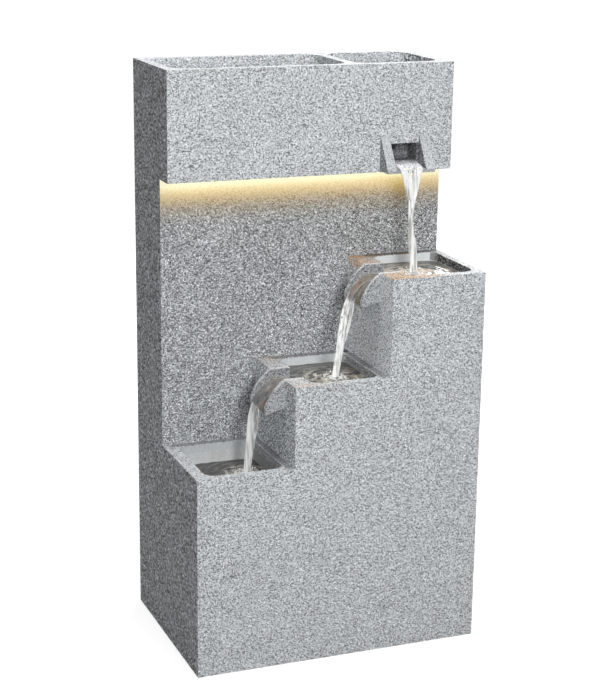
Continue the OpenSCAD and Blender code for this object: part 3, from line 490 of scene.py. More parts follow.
# Down from the diffuser, in shares of the reach: the pool of light that is painted on the panel as
# emission
GLOW_STOPS = ((0.0, (0.86, 0.84, 0.60)), (0.17, (0.79, 0.74, 0.45)), (0.26, (0.62, 0.50, 0.19)),
              (0.36, (0.47, 0.32, 0.075)), (0.50, (0.27, 0.165, 0.02)), (0.64, (0.11, 0.065, 0.0)),
              (0.82, (0.04, 0.025, 0.0)), (1.0, (0.0, 0.0, 0.0)))
CHIPS = 27
# Each basin's opening: how bright its back wall is, how far its right wall and the rim under the
# next step are darkened by painted shade, and how much algae grows on its rim
OPENINGS = (("upper", 0.9, 0.62, 0.0, 1.0), ("middle", 0.72, 0.5, 0.45, 0.3),
            ("lower", 0.56, 0.35, 0.45, 0.0))


def granite(name, front, side, top, stain=None, glow=None, back=None, wall=None):
    """Cast stone with dark and white grains. Each way it can face has a shade and a contrast. The
    shades are painted light and shade: one stone given lighter and darker copies by the way its
    faces turn to the light.

    Wall is for what faces sideways away from the fountain's own sides, such as the step walls."""
    stone = bpy.context.scene.fountain_stone
    f = Finish(name)
    forward = f.step(f.normal_part("Y") * -1.0, *TURNED)
    backward = f.step(f.normal_part("Y"), *TURNED)
    upward = f.step(f.normal_part("Z"), *TURNED)
    outer = ((f.place_part("X") < cad_low.x + OUTER)
             + (f.place_part("X") > cad_high.x - OUTER)) * (1 - forward - backward - upward)
    # Painted light and shade: each face takes the shade given for the way it turns, so sides, tops,
    # walls and the panel are lit and shaded by colour
    shade, contrast = (
        at_wall + (at_side - at_wall) * outer + (at_front - at_wall) * forward
        + (at_back - at_wall) * backward + (at_top - at_wall) * upward
        for at_front, at_side, at_top, at_back, at_wall
        in zip(front, side, top, back or front, wall or side))
    contrast = contrast * stone.contrast
    # Painted light: the glow fades the grains as if washed out by the light
    if glow:
        light, drown = glow(f)
        contrast = contrast * (1 - drown * 0.9)
    place = f.scaled(f.stretched(f.place(), GRAIN_STRETCH),
                     1 - f.step(outer, 0.2, 0.8) * SIDE_COARSER)
    grains = f.cells(f.shaken(place, 0.8 / stone.grain, 0.3 * stone.grain), 1.0 / stone.grain)
    dark = f.dots(place, 0.72 / stone.grain, 0.5, 0.47)
    pale = f.dots(place, 0.55 / stone.grain, 0.4, 0.43)
    cloud = f.noise(f.place(), 14.0, 3.0)
    speckle = (grains - 0.5) * 0.6 + 0.14 - dark * 1.25 + pale * 0.4 + (cloud - 0.5) * 0.12
    tone = (1 + speckle * contrast).at_least(DARKEST)
    colour = f.tone(tuple(stone.tint), shade * tone)
    # Stains and painted shade from the caller
    if stain:
        colour = stain(f, colour)
    rough = 0.8 - (grains > 0.93) * 0.3
    height = grains * 0.5 + f.noise(f.place(), 900.0, 2.0)
    surface = {"Base_Color": colour, "Roughness": rough,
               "Normal": f.bump(height, 0.25 * MM, 0.6)}
    # Painted light: the glow is given to the panel as emission
    if glow:
        surface.update(Emission_Color=light, Emission_Strength=1.0)
    return f.done(f.shader(**surface))


def panel_glow(f):
    """The pool of light from the strip under the overhang, painted on the panel as emission, and
    how far it drowns the grains like a painted glare.
    """
    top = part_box("light_diffuser")[0].z
    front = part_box("tower_shell")[0].y
    below = (top - f.place_part("Z")) * (1.0 / GLOW_REACH)
    colour = f.ramp(below, GLOW_STOPS)
    panel = (f.place_part("Y") < front + 2 * MM) * (f.normal_part("Y") < -0.5)
    return f.tone(colour, panel), panel * (1 - f.step(below, 0.35, 1.1))


def casing_algae_and_shade(f, colour):
    """The walls of the basins' openings, with painted shade on their right walls and on the rims
    along the back and under the next step, and algae on the rims round the two upper basins.
    """
    toward_spill = f.normal_part("X") < -0.5
    upward = f.step(f.normal_part("Z"), 0.3, 0.7)
    patches = f.noise(f.shaken(f.place(), 60.0, 12 * MM), 55.0, 4.0, 0.65)
    for name, bright, dim, under, amount in OPENINGS:
        low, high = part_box(name + "_basin")
        # The opening's walls: bright and smooth at the back, and dark with painted shade on the
        # right
        inside = (f.span("X", low.x, high.x + 5 * MM, MM)
                  * f.span("Y", low.y, high.y + 5 * MM, MM)
                  * f.span("Z", low.z, high.z + 12 * MM, 2 * MM))
        colour = f.mix(colour, (bright * 0.93, bright * 0.98, bright),
                       inside * (f.normal_part("Y") < -0.5) * 0.85)
        colour = f.tone(colour, 1 - inside * toward_spill * dim)
        # The rims: painted shade along the back and under the next step
        rim = f.span("Z", high.z + 2 * MM, high.z + 26 * MM, 4 * MM)
        far_rim = (rim * upward * (f.place_part("Y") > high.y - 2 * MM)
                   * f.span("X", low.x - 4 * MM, high.x + 6 * MM, 4 * MM))
        under_step = (rim * upward * f.span("X", high.x, high.x + 60 * MM, 3 * MM)
                      * f.span("Y", low.y + 6 * MM, high.y, 20 * MM))
        colour = f.tone(colour, 1 - far_rim * 0.5 - under_step * under)
        # Algae: behind the basin and its spill, and at the front by the spill
        across = f.span("X", low.x - 34 * MM, low.x + 70 * MM, 20 * MM)
        back = f.span("Y", high.y - 6 * MM, high.y + 20 * MM, 6 * MM)
        spill = f.span("X", low.x - 34 * MM, low.x + 6 * MM, 3 * MM)
        behind = f.span("Y", high.y - 52 * MM, high.y + 14 * MM, 8 * MM)
        lip = f.span("Y", low.y - 22 * MM, low.y + 4 * MM, 2 * MM)
        near = f.span("X", low.x - 24 * MM, low.x + 50 * MM, 14 * MM)
        corner = f.span("Y", low.y - 22 * MM, low.y + 30 * MM, 4 * MM)
        where = across * back * upward + spill * behind
        cover = (where * f.step(patches, 0.36, 0.56)
                 + (lip * near + spill * corner) * upward * f.step(patches, 0.22, 0.44))
        colour = f.mix(colour, ALGAE, f.step(cover * rim * amount, 0.0, 1.3), "MULTIPLY")
    return colour


def smooth_cast(name, shade, speckle, wet=0.0, stained=0.0, dim=0.0):
    """The smoother stone of the weirs and the basins, which may have painted shade on the walls on
    its right, which face left.
    """
    stone = bpy.context.scene.fountain_stone
    f = Finish(name)
    place = f.place()
    grains = f.cells(f.shaken(place, 500.0, 1.2 * MM), 0.8 / stone.grain)
    cloud = f.noise(place, 26.0, 4.0, 0.6)
    runs = f.noise(f.stretched(place, (120.0, 120.0, 14.0)), 1.0, 3.0)
    level = shade * (1 + (grains - 0.5) * speckle + (cloud - 0.5) * 0.34)
    # Painted shade on the faces that turn to the left
    if dim:
        level = level * (1 - f.step(f.normal_part("X") * -1.0, 0.4, 0.9) * dim)
    colour = f.tone(CAST_TINT, level)
    if stained:
        cover = f.step(runs * 0.6 + cloud * 0.5, 0.44, 0.74) * stained
        colour = f.mix(colour, SILT_STAIN, cover)
    rough = 0.62 - wet * 0.42 + (cloud - 0.5) * 0.2
    height = cloud * 1.6 + f.noise(place, 420.0, 2.0) * 0.3
    return f.done(f.shader(Base_Color=colour, Roughness=rough,
                           Normal=f.bump(height, 0.5 * MM, 0.6)))


def moulded(name, colour, rough, texture=0.06):
    """Moulded plastic or rubber with a fine spark texture, dust and small scuffs."""
    f = Finish(name)
    place = f.place()
    dust = f.noise(place, 40.0, 4.0, 0.6)
    scuffs = f.step(f.noise(f.stretched(place, (900.0, 90.0, 90.0)), 1.0, 2.0), 0.62, 0.75)
    pale = tuple(min(1.0, c * 1.25 + 0.05) for c in colour)
    blend = f.step(dust, 0.45, 0.85) * 0.5 + scuffs * 0.18
    spark = f.noise(place, 1800.0, 2.0)
    return f.done(f.shader(
        Base_Color=f.mix(colour, pale, blend), Roughness=rough + (dust - 0.5) * 0.25,
        Normal=f.bump(spark, texture * MM, 0.5)))


def metal(name, colour, rough, grain):
    """Rolled or drawn metal: fine lines along one direction and a dull bloom."""
    f = Finish(name)
    place = f.place()
    lines = f.noise(f.stretched(place, grain), 1.0, 3.0, 0.6)
    bloom = f.noise(place, 60.0, 4.0)
    dull = tuple(c * 0.72 for c in colour)
    return f.done(f.shader(
        Base_Color=f.mix(colour, dull, f.step(bloom, 0.4, 0.8) * 0.6), Metallic=1.0,
        Roughness=rough + (lines - 0.5) * 0.25 + (bloom - 0.5) * 0.1,
        Normal=f.bump(lines, 0.03 * MM, 0.5)))


def pool_water(name, splash, reach, murk, silt, spread):
    """Standing water: dark, glossy, with pale swirls and froth round the foot of its fall."""
    f = Finish(name)
    place = f.place()
    away = f.distance(splash)
    wander = f.noise(place, 34.0, 3.0, 0.6)
    swirl = f.sine((away * 70.0 + wander * 3.2) * 6.28)
    near = 1 - f.step(away, 0.2 * reach, reach)
    lines = f.step(swirl, 0.15, 0.85) * f.step(wander, 0.34, 0.52)
    patches = f.step(f.noise(f.shaken(place, 60.0, 14 * MM), 48.0, 4.0, 0.6) + spread, 0.48, 0.58)
    froth = f.step(f.noise(place, 360.0, 3.0), 0.38, 0.60) * (1 - f.step(away, 6 * MM, 24 * MM))
    body = f.mix(tuple(c * 0.5 for c in murk), tuple(c * 1.7 for c in murk), wander)
    colour = f.mix(body, silt, patches * near * 0.8)
    colour = f.mix(colour, SWIRL, lines * near * 0.75)
    colour = f.mix(colour, FROTH, froth)
    rough = 0.03 + near * (lines + patches) * 0.12 + froth * 0.3
    return f.done(f.shader(Base_Color=colour, Roughness=rough, IOR=WATER_IOR,
                           Normal=f.bump(f.noise(place, 130.0, 3.0), 0.6 * MM, 0.6)))


def falling_water(name, foot, lip, sparkle):
    """Falling water with white threads. It is clearest above its lip and whitest at its foot. Its
    edges, where it is seen edge-on, carry painted shade, and near its lip it carries painted glints
    and painted reflections.
    """
    f = Finish(name)
    place = f.place()
    height = f.place_part("Z")
    threads = f.noise(f.stretched(place, (260.0, 260.0, 9.0)), 1.0)
    low = 1 - f.step(height, foot, foot + 30 * MM)
    high = f.step(height, lip - 4 * MM, lip + 6 * MM)
    white = f.step(threads + low * 0.04, 0.31, 0.54)
    # Painted shade: darker where the water is seen edge-on
    rim = f.node("ShaderNodeLayerWeight", inputs={"Blend": 0.35}, output="Facing")
    colour = f.mix(CLEAR_WATER, WHITE_WATER, white)
    colour = f.mix(colour, WATER_EDGE_SHADE, f.step(rim, 0.6, 1.0) * 0.6)
    near = 1 - f.step(height, lip + 3 * MM, lip + 12 * MM)
    # Painted highlights: glints near the lip
    glints = f.step(f.noise(place, 330.0, 2.0), 0.48, 0.58) * high * near * sparkle
    # Painted reflections: thin bright lines along the way that the film runs to its lip
    lines = f.step(f.noise(f.stretched(place, (16.0, 300.0, 16.0)), 1.0, 2.0), 0.52, 0.66)
    lines = lines * high * (1 - sparkle)
    colour = f.mix(colour, GLINT, glints + lines)
    cover = (0.45 + white * 0.45) * (1 - high * 0.93) + glints * 0.8 + lines * 0.22
    return f.done(f.shader(Base_Color=colour, Roughness=0.1, IOR=WATER_IOR, Alpha=cover,
                           Normal=f.bump(threads, 0.8 * MM, 0.6)))


def lit_diffuser():
    """A frosted strip, a little brighter in front of each light chip."""
    glow = bpy.context.scene.fountain_glow
    f = Finish("lit_diffuser")
    low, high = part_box("light_strip")
    chips = f.sine(f.place_part("X") * (2 * math.pi * CHIPS / (high.x - low.x)))
    level = 0.93 + chips * 0.07
    return f.done(f.shader(Base_Color=(0.9, 0.88, 0.8), Roughness=0.5,
                           Emission_Color=f.tone(tuple(glow.colour), level),
                           Emission_Strength=glow.strength))


def light_chips():
    f = Finish("light_chips")
    chip = f.place_part("Z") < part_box("light_strip")[1].z - 0.9 * MM
    grain = f.noise(f.place(), 300.0, 3.0)
    colour = f.mix(f.mix((0.82, 0.80, 0.74), (0.70, 0.68, 0.62), grain), (1.0, 0.80, 0.30), chip)
    return f.done(f.shader(Base_Color=colour, Roughness=0.4, Emission_Color=colour,
                           Emission_Strength=1.0))


# The pieces, in the order of the build

BASINS = ("upper", "middle", "lower")
WEIRS = ("upper", "middle")
CASTING = "fountain"
WEIR_CHEEK = 7.5 * MM
FALL_INTO = {"upper": "top_fall", "middle": "upper_fall", "lower": "lower_fall"}
FALL_FOOT = 12 * MM
LANDING_Y = {"middle": -86 * MM, "lower": -66 * MM}


class FOUNTAIN_OT_mouldings(bpy.types.Operator):
    """Dress the tower, the stepped casing and the planter box in granite"""
    bl_idname = "fountain.mouldings"
    bl_label = "Stone mouldings"

    def execute(self, context):
        stone = context.scene.fountain_stone
        # Painted light and shade: the sides painted darker, the tops a little darker, the casing's
        # step walls lighter, and the panel behind the steps darker than the fronts
        side = (stone.shade * 0.51, 4.0)
        top = (stone.shade * 0.78, 1.0)
        finishes = {
            "tower_shell": granite("granite_tower", (stone.panel_painted_shade, 4.4), side, top,
                                   glow=panel_glow, back=(stone.shade, 1.2)),
            "stepped_casing": granite("granite_casing", (stone.shade, 1.35), side, top,
                                      casing_algae_and_shade, wall=(stone.shade * 1.22, 2.4)),
            "planter_box": granite("granite_planter", (stone.shade, 1.3), side, top,
                                   wall=(stone.shade, 1.2)),
        }
        for node, finish in finishes.items():
            piece = welded_copy(node, "stone_" + node)
            round_edges(piece, stone.edge)
            settle(piece, CASTING, "granite", finish)
        return {"FINISHED"}


class FOUNTAIN_OT_weirs(bpy.types.Operator):
    """Dress the two weirs, with wet floors in their troughs"""
    bl_idname = "fountain.weirs"
    bl_label = "Weirs"

    EDGE = 1.6 * MM

    def execute(self, context):
        # Painted light: the cheeks' tops are painted lighter than their fronts and sides
        cheek = granite("weir_cheek", (0.36, 0.9), (0.36, 1.5), (0.5, 0.6))
        wet = smooth_cast("weir_trough", 0.06, 2.0, wet=0.6, stained=1.0)
        inner = granite("weir_inner", *[(0.28, 1.4)] * 3)
        for name in WEIRS:
            piece = welded_copy(name + "_weir", "cast_" + name + "_weir")
            low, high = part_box(name + "_weir")
            front, back = low.y + WEIR_CHEEK, high.y - WEIR_CHEEK
            round_edges(piece, self.EDGE, segments=4)
            settle(piece, CASTING, "granite", cheek, wet, inner)
            with Editing(piece) as edit:
                edit.pick("faces", lambda face: face.normal.z > 0.2
                          and front < face.calc_center_median().y < back)
                edit.assign(1)
                edit.pick("faces", lambda face: abs(face.normal.y) > 0.9
                          and front - MM < face.calc_center_median().y < back + MM)
                edit.assign(2)
        return {"FINISHED"}


class FOUNTAIN_OT_spout(bpy.types.Operator):
    """Dress the top spout: smooth on its cheeks, with painted shade on their sides and in its mouth
    """
    bl_idname = "fountain.spout"
    bl_label = "Top spout"

    EDGE = 1.2 * MM
    CHEEK = 9 * MM

    def execute(self, context):
        shade = context.scene.fountain_stone.shade
        piece = welded_copy("top_spout", "cast_top_spout")
        round_edges(piece, self.EDGE)
        low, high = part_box("top_spout")
        # Painted shade: the cheeks' sides are painted darker than their fronts, and the faces in
        # the mouth darker still
        face = granite("spout_face", (shade * 0.76, 0.5), (shade * 0.66, 1.5), (shade * 0.76, 0.5))
        mouth = granite("spout_mouth", (shade * 0.32, 2.0), (shade * 0.5, 1.6), (shade * 0.4, 1.6))
        settle(piece, CASTING, "granite", face, mouth)
        with Editing(piece) as edit:
            edit.pick("faces", lambda face: abs(face.normal.y) < 0.9 and low.x + self.CHEEK
                      < face.calc_center_median().x < high.x - self.CHEEK)
            edit.assign(1)
        dress(mouth, "spout_inlet")
        return {"FINISHED"}


class FOUNTAIN_OT_basins(bpy.types.Operator):
    """Model the three basin trays under the rims"""
    bl_idname = "fountain.basins"
    bl_label = "Basins"

    WALL = 3 * MM
    CORNER = 18 * MM
    TAPER = 4 * MM
    COVE = 7 * MM
    SPILL = 27 * MM
    SHADES = {"upper": 0.85, "middle": 0.70, "lower": 0.60}

    def execute(self, context):
        for name in BASINS:
            self.tray(name)
        return {"FINISHED"}

    def tray(self, name):
        low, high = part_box(name + "_basin")
        room = Vector((self.WALL, self.WALL, self.WALL))
        piece = add_block(name + "_tray", low + room, high - Vector((self.WALL, self.WALL, 0)))
        size = high - low - 2 * room
        middle = (low + high) / 2
        with Editing(piece) as edit:
            edit.pick("faces", lambda face: face.normal.z > 0.9)
            bpy.ops.mesh.delete(type="FACE")
            edit.pick("edges", lambda edge: rise(edge) > self.COVE)
            bpy.ops.mesh.bevel(offset=self.CORNER, segments=8)
            edit.pick("faces", lambda face: face.normal.z < -0.9)
            bpy.ops.transform.resize(
                value=(1 - 2 * self.TAPER / size.x, 1 - 2 * self.TAPER / size.y, 1),
                center_override=(middle.x, middle.y, low.z))
            edit.pick("edges", lambda edge: all(v.co.z < low.z + 2 * self.WALL for v in edge.verts))
            bpy.ops.mesh.bevel(offset=self.COVE, segments=4)
        apply_modifier(piece, "SOLIDIFY", thickness=self.WALL, offset=1.0, use_even_offset=True)
        if name in WEIRS:
            weir_low, weir_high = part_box(name + "_weir")
            notch = add_block("notch", (low.x - self.WALL, weir_low.y, weir_high.z - self.SPILL),
                              (low.x + 3 * self.WALL, weir_high.y, weir_high.z))
            cut_away(piece, notch)
        outward(piece)
        smooth(piece, 40)
        # The trays' walls on the right get painted shade
        finish = smooth_cast(name + "_tray", self.SHADES[name], 0.22, wet=0.25, stained=0.25,
                             dim=0.4)
        settle(piece, CASTING, "basin_grey", finish)
        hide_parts(name + "_basin")


class FOUNTAIN_OT_pools(bpy.types.Operator):
    """Model the water in the basins, with rings round each fall"""
    bl_idname = "fountain.pools"
    bl_label = "Pools"

    VOXEL = 2 * MM
    CORNER = 17 * MM
    RING_FADE = 45 * MM
    SINK = 0.6 * MM
    STRAINER_ROOM = 0.4 * MM
    # Reach of the swirls round the fall, the water's colour, the colour of what it carries and
    # how far that spreads
    LOOKS = {"upper": (95 * MM, (0.10, 0.105, 0.108), (0.76, 0.64, 0.53), 0.03),
             "middle": (80 * MM, (0.070, 0.070, 0.066), (0.44, 0.39, 0.32), 0.0),
             "lower": (56 * MM, (0.050, 0.048, 0.048), (0.30, 0.27, 0.24), 0.0)}

    def execute(self, context):
        for name in BASINS:
            self.pool(name, context.scene.fountain_water)
        return {"FINISHED"}

    def pool(self, name, water):
        low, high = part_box(name + "_pool")
        piece = add_block(name + "_water", low, high)
        with Editing(piece) as edit:
            edit.pick("edges", lambda edge: rise(edge) > MM)
            bpy.ops.mesh.bevel(offset=self.CORNER, segments=6)
        apply_modifier(piece, "REMESH", mode="VOXEL", voxel_size=self.VOXEL)
        splash = landing(name)
        for vertex in piece.data.vertices:
            if vertex.co.z > high.z - self.VOXEL:
                vertex.co.z = high.z + self.ripple(vertex.co, splash, water)
        if name == "lower":
            self.clear_strainer(piece, low, high)
        smooth(piece, 60)
        settle(piece, CASTING, "water", pool_water(name + "_water", splash, *self.LOOKS[name]))
        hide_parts(name + "_pool")

    def ripple(self, point, splash, water):
        """Height of the surface over the still level."""
        away = (point.xy - splash.xy).length
        rings = math.cos(2 * math.pi * away / water.ring) * math.exp(-away / self.RING_FADE)
        chop = noise.noise(Vector((point.x * 45, point.y * 80, 0.0)))
        fine = noise.noise(Vector((point.x * 120, point.y * 170, 4.0)))
        return water.ripple * (rings + 0.55 * chop + 0.25 * fine) - self.SINK

    def clear_strainer(self, piece, low, high):
        strainer_low, strainer_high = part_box("basin_strainer")
        middle = (strainer_low + strainer_high) / 2
        deselect_all()
        bpy.ops.mesh.primitive_cylinder_add(
            vertices=48, radius=(strainer_high.x - strainer_low.x) / 2 + self.STRAINER_ROOM,
            depth=2 * (high.z - low.z), location=(middle.x, middle.y, high.z))
        cut_away(piece, bpy.context.active_object)


def landing(name):
    """Where a fall meets the pool of a basin."""
    low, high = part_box(FALL_INTO[name])
    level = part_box(name + "_pool")[1].z
    if name == "upper":
        return Vector(((low.x + high.x) / 2, low.y + 4 * MM, level))
    return Vector((low.x + FALL_FOOT / 2, LANDING_Y[name], level))


class FOUNTAIN_OT_falls(bpy.types.Operator):
    """Model the three falls as strands of water that wind round each other"""
    bl_idname = "fountain.falls"
    bl_label = "Falls"

    VOXEL = 0.75 * MM
    EARLY_DROP = 0.7
    STEPS = 26
    TURNS = 0.8
    WEIR_TURNS = 0.3
    # Place across the lip and radius of each strand that leaves the spout, in millimetres
    SPOUT_STRANDS = ((-19.5, 1.8), (-16.5, 2.3), (-13, 2.2), (-9.5, 1.7), (-5, 1.5), (-1, 1.4),
                     (3, 1.4), (7.5, 1.5), (12, 1.7), (15.5, 2.1), (19, 1.7))
    SPOUT_HALF = 20 * MM
    RIBBON_HALF = 6 * MM
    # The strands from the spout gather into a ribbon by one share of the way and wind from another
    GATHERED = 0.36
    WINDS_FROM = 0.3
    RIBBON_DEPTH = 2.4 * MM
    # What a strand gains in the last of its way, where it breaks up
    FLARE = 0.8 * MM
    FLARE_FROM, FLARE_SPAN = 0.86, 0.14
    SWELL = 0.2
    # How strongly each fall is painted with glints near its lip, the rest going to painted
    # reflections
    SPARKLE = {"upper": 0.9, "middle": 0.12, "lower": 0.2}
    FILM = 2.2 * MM
    LIP_HALF = 18.5 * MM
    LIP_STEPS = 8
    # How close the strands behind the first ones run at the lip, how narrow they all are at the
    # foot, how fast they narrow, and how deep they wind for their width
    LIP_CROWD = 0.62
    FOOT_SHARE = 0.42
    NARROWING = 1.4
    WINDING_DEPTH = 0.85
    SPILL = 34 * MM
    TROUGH_DEPTH = 17 * MM
    TROUGH_FLAT = 4 * MM
    TROUGH_RADIUS = 64 * MM
    OVER_FLOOR = 1.2 * MM
    LIP_DROP = 54 * MM

    def execute(self, context):
        water = context.scene.fountain_water
        draws = random.Random(7)
        self.top_fall(water, draws)
        self.weir_fall("upper", "middle", water, draws)
        self.weir_fall("middle", "lower", water, draws)
        return {"FINISHED"}

    def strand(self, points, radii):
        """One tube along points, with a radius at each."""
        curve = bpy.data.curves.new("strand", "CURVE")
        curve.dimensions = "3D"
        curve.bevel_depth = 1.0
        curve.bevel_resolution = 2
        curve.use_fill_caps = True
        spline = curve.splines.new("POLY")
        spline.points.add(len(points) - 1)
        for place, point, radius in zip(spline.points, points, radii):
            place.co = (*point, 1.0)
            place.radius = radius
        tube = bpy.data.objects.new("strand", curve)
        bpy.context.scene.collection.objects.link(tube)
        activate(tube)
        bpy.ops.object.convert(target="MESH")
        return bpy.context.active_object

    def fuse(self, strands, basin, lip_z, foot, water, draws):
        """Fuses the strands into one skin, adds the drops and finishes the piece."""
        node = FALL_INTO[basin]
        name = node + "_water"
        piece = join(strands, name)
        apply_modifier(piece, "REMESH", mode="VOXEL", voxel_size=self.VOXEL)
        apply_modifier(piece, "SMOOTH", factor=0.5, iterations=3)
        drops = [self.drop(foot, draws) for _ in range(water.drops)]
        piece = join([piece] + drops, name)
        activate(piece)
        bpy.ops.object.shade_smooth()
        settle(piece, CASTING, "water",
               falling_water(name, foot.z, lip_z, self.SPARKLE[basin]))
        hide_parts(node)

    def drop(self, foot, draws):
        """A small drop thrown up near the foot of a fall."""
        angle = draws.uniform(0, 2 * math.pi)
        away = draws.uniform(6, 20) * MM
        rise = draws.uniform(1, 14) * MM * (1 - away / (26 * MM))
        deselect_all()
        bpy.ops.mesh.primitive_ico_sphere_add(
            subdivisions=2, radius=draws.uniform(0.5, 1.2) * MM,
            location=(foot.x + away * math.cos(angle), foot.y + away * math.sin(angle),
                      foot.z + MM + rise))
        bpy.ops.transform.resize(value=(1, 1, draws.uniform(1.0, 1.6)))
        bpy.ops.object.transform_apply(location=True, rotation=True, scale=True)
        return bpy.context.active_object

    def free_point(self, lip, foot, t):
        drop = self.EARLY_DROP * t + (1 - self.EARLY_DROP) * t * t
        return Vector((lip.x + (foot.x - lip.x) * t, lip.y + (foot.y - lip.y) * t,
                       lip.z + (foot.z - lip.z) * drop))

    def top_fall(self, water, draws):
        spout_low, spout_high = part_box("top_spout")
        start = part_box("top_fall")[1]
        middle_x = (spout_low.x + spout_high.x) / 2
        foot = landing("upper")
        lip = Vector((middle_x, spout_low.y - MM, spout_low.z + 6 * MM))
        strands = []
        for i, (leave, size) in enumerate(self.SPOUT_STRANDS):
            leave, size = leave * MM, size * MM
            phase = math.acos(leave / self.SPOUT_HALF)
            points = [Vector((middle_x + leave * 1.1, start.y, start.z - self.FILM)),
                      Vector((middle_x + leave * 1.05, spout_low.y + 20 * MM,
                              spout_low.z + 9 * MM + self.FILM)),
                      Vector((lip.x + leave, lip.y, lip.z + self.FILM / 2))]
            radii = [self.FILM, self.FILM, (self.FILM + size) / 2]
            for k in range(1, self.STEPS + 1):
                t = k / self.STEPS
                gather = min(1.0, t / self.GATHERED)
                winding = phase + 2 * math.pi * self.TURNS * max(0.0, t - self.WINDS_FROM)
                half = self.SPOUT_HALF + (self.RIBBON_HALF - self.SPOUT_HALF) * gather
                offset = Vector((half * math.cos(winding),
                                 gather * self.RIBBON_DEPTH * math.sin(winding), 0))
                points.append(self.free_point(lip, foot, t) + offset)
                radii.append(self.radius(size, 9 * t + i, t))
            strands.append(self.strand(points, radii))
        self.fuse(strands, "upper", lip.z, foot, water, draws)

    def radius(self, size, wave, t):
        """A strand's radius on its way down, with its swellings."""
        flare = self.FLARE * max(0.0, (t - self.FLARE_FROM) / self.FLARE_SPAN) ** 2
        return size * (1 + self.SWELL * math.sin(wave)) + flare

    def trough_point(self, reach, rim, t):
        """A point on the trough's floor, from its flat part to its lip, and its height."""
        start = Vector((-self.TROUGH_FLAT, -self.TROUGH_DEPTH))
        end = Vector((reach, -self.LIP_DROP))
        chord = end - start
        out = Vector((-chord.y, chord.x)).normalized()
        rise = math.sqrt(self.TROUGH_RADIUS ** 2 - (chord.length / 2) ** 2)
        centre = (start + end) / 2 - out * rise
        a, b = start - centre, end - centre
        first, last = math.atan2(a.y, a.x), math.atan2(b.y, b.x)
        turn = first + (last - first) * t
        radius = self.TROUGH_RADIUS + self.OVER_FLOOR
        point = centre + radius * Vector((math.cos(turn), math.sin(turn)))
        return Vector((-point.x, 0, rim + point.y))

    def weir_fall(self, above, below, water, draws):
        low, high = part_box(above + "_weir")
        wall_x = high.x - self.SPILL
        reach = wall_x - low.x
        foot = landing(below)
        front_y, back_y = low.y + WEIR_CHEEK, high.y - WEIR_CHEEK
        strands = []
        for i in range(water.strands):
            share = (i + 0.5) / water.strands
            side = 2 * share - 1
            size = draws.uniform(1.3, 2.1) * MM
            start_y = front_y + (back_y - front_y) * share
            # The first strands run at the front of the lip, on their own, and join the rest below
            lip_side = side * self.LIP_CROWD if side > -0.5 else side
            lip_y = back_y - self.LIP_HALF + self.LIP_HALF * lip_side
            points = [Vector((high.x + 2 * MM, start_y, high.z - self.TROUGH_DEPTH + size))]
            radii = [self.FILM]
            for k in range(self.LIP_STEPS + 1):
                t = k / self.LIP_STEPS
                point = self.trough_point(reach, high.z, t) + Vector((wall_x, 0, 0))
                point.y = start_y + (lip_y - start_y) * t ** 1.5
                points.append(point)
                radii.append(self.FILM + (size - self.FILM) * t)
            middle = points[-1].copy()
            middle.y = back_y - self.LIP_HALF
            for k in range(1, self.STEPS + 1):
                t = k / self.STEPS
                winding = 2 * math.pi * self.WEIR_TURNS * t
                spread = 1 + (self.FOOT_SHARE - 1) * min(1.0, self.NARROWING * t)
                across = (lip_y - middle.y) * spread
                offset = Vector((-self.WINDING_DEPTH * across * math.sin(winding),
                                 across * math.cos(winding), 0))
                points.append(self.free_point(middle, foot, t) + offset)
                radii.append(self.radius(size, 8 * t + i, t))
            strands.append(self.strand(points, radii))
        self.fuse(strands, below, middle.z, foot, water, draws)


class FOUNTAIN_OT_light(bpy.types.Operator):
    """Light the strip under the overhang"""
    bl_idname = "fountain.light"
    bl_label = "Light"

    def execute(self, context):
        dress(lit_diffuser(), "light_diffuser")
        dress(light_chips(), "light_strip")
        dress(metal("channel_aluminium", (0.78, 0.78, 0.77), 0.38, (6.0, 900.0, 900.0)),
              "light_channel")
        return {"FINISHED"}


class FOUNTAIN_OT_inside(bpy.types.Operator):
    """Finish the reservoir, the pump, the pipes, the leads and the fixings"""
    bl_idname = "fountain.inside"
    bl_label = "Inside"

    def execute(self, context):
        dress(moulded("black_plastic", (0.035, 0.036, 0.04), 0.5),
              "base_board", "reservoir_tub", "overflow_nut", "basin_strainer", "pump_body",
              "intake_strainer", "hose_clips", "door_frame", "drain_nut")
        dress(moulded("grey_plastic", (0.30, 0.31, 0.31), 0.48),
              "overflow_pipe", "pump_outlet", "impeller_cover", "drain_bush", "channel_end_caps")
        dress(moulded("green_plastic", (0.03, 0.20, 0.09), 0.4), "flow_dial")
        dress(moulded("white_plastic", (0.75, 0.75, 0.72), 0.35), "impeller", "lead_clips")
        dress(moulded("black_rubber", (0.025, 0.025, 0.027), 0.72, 0.12),
              "pump_feet", "shaft_bushes", "riser_hose", "pump_lead", "light_lead",
              "door_gasket", "plug_seal")
        dress(metal("stainless", (0.62, 0.63, 0.64), 0.32, (40.0, 40.0, 1400.0)),
              "impeller_shaft", "hose_clamps", "hinge_pins", "door_strike", "joint_brackets",
              "tie_plates", "fixing_screws")
        dress(moulded("ferrite", (0.03, 0.03, 0.032), 0.6, 0.2), "door_magnet")
        return {"FINISHED"}


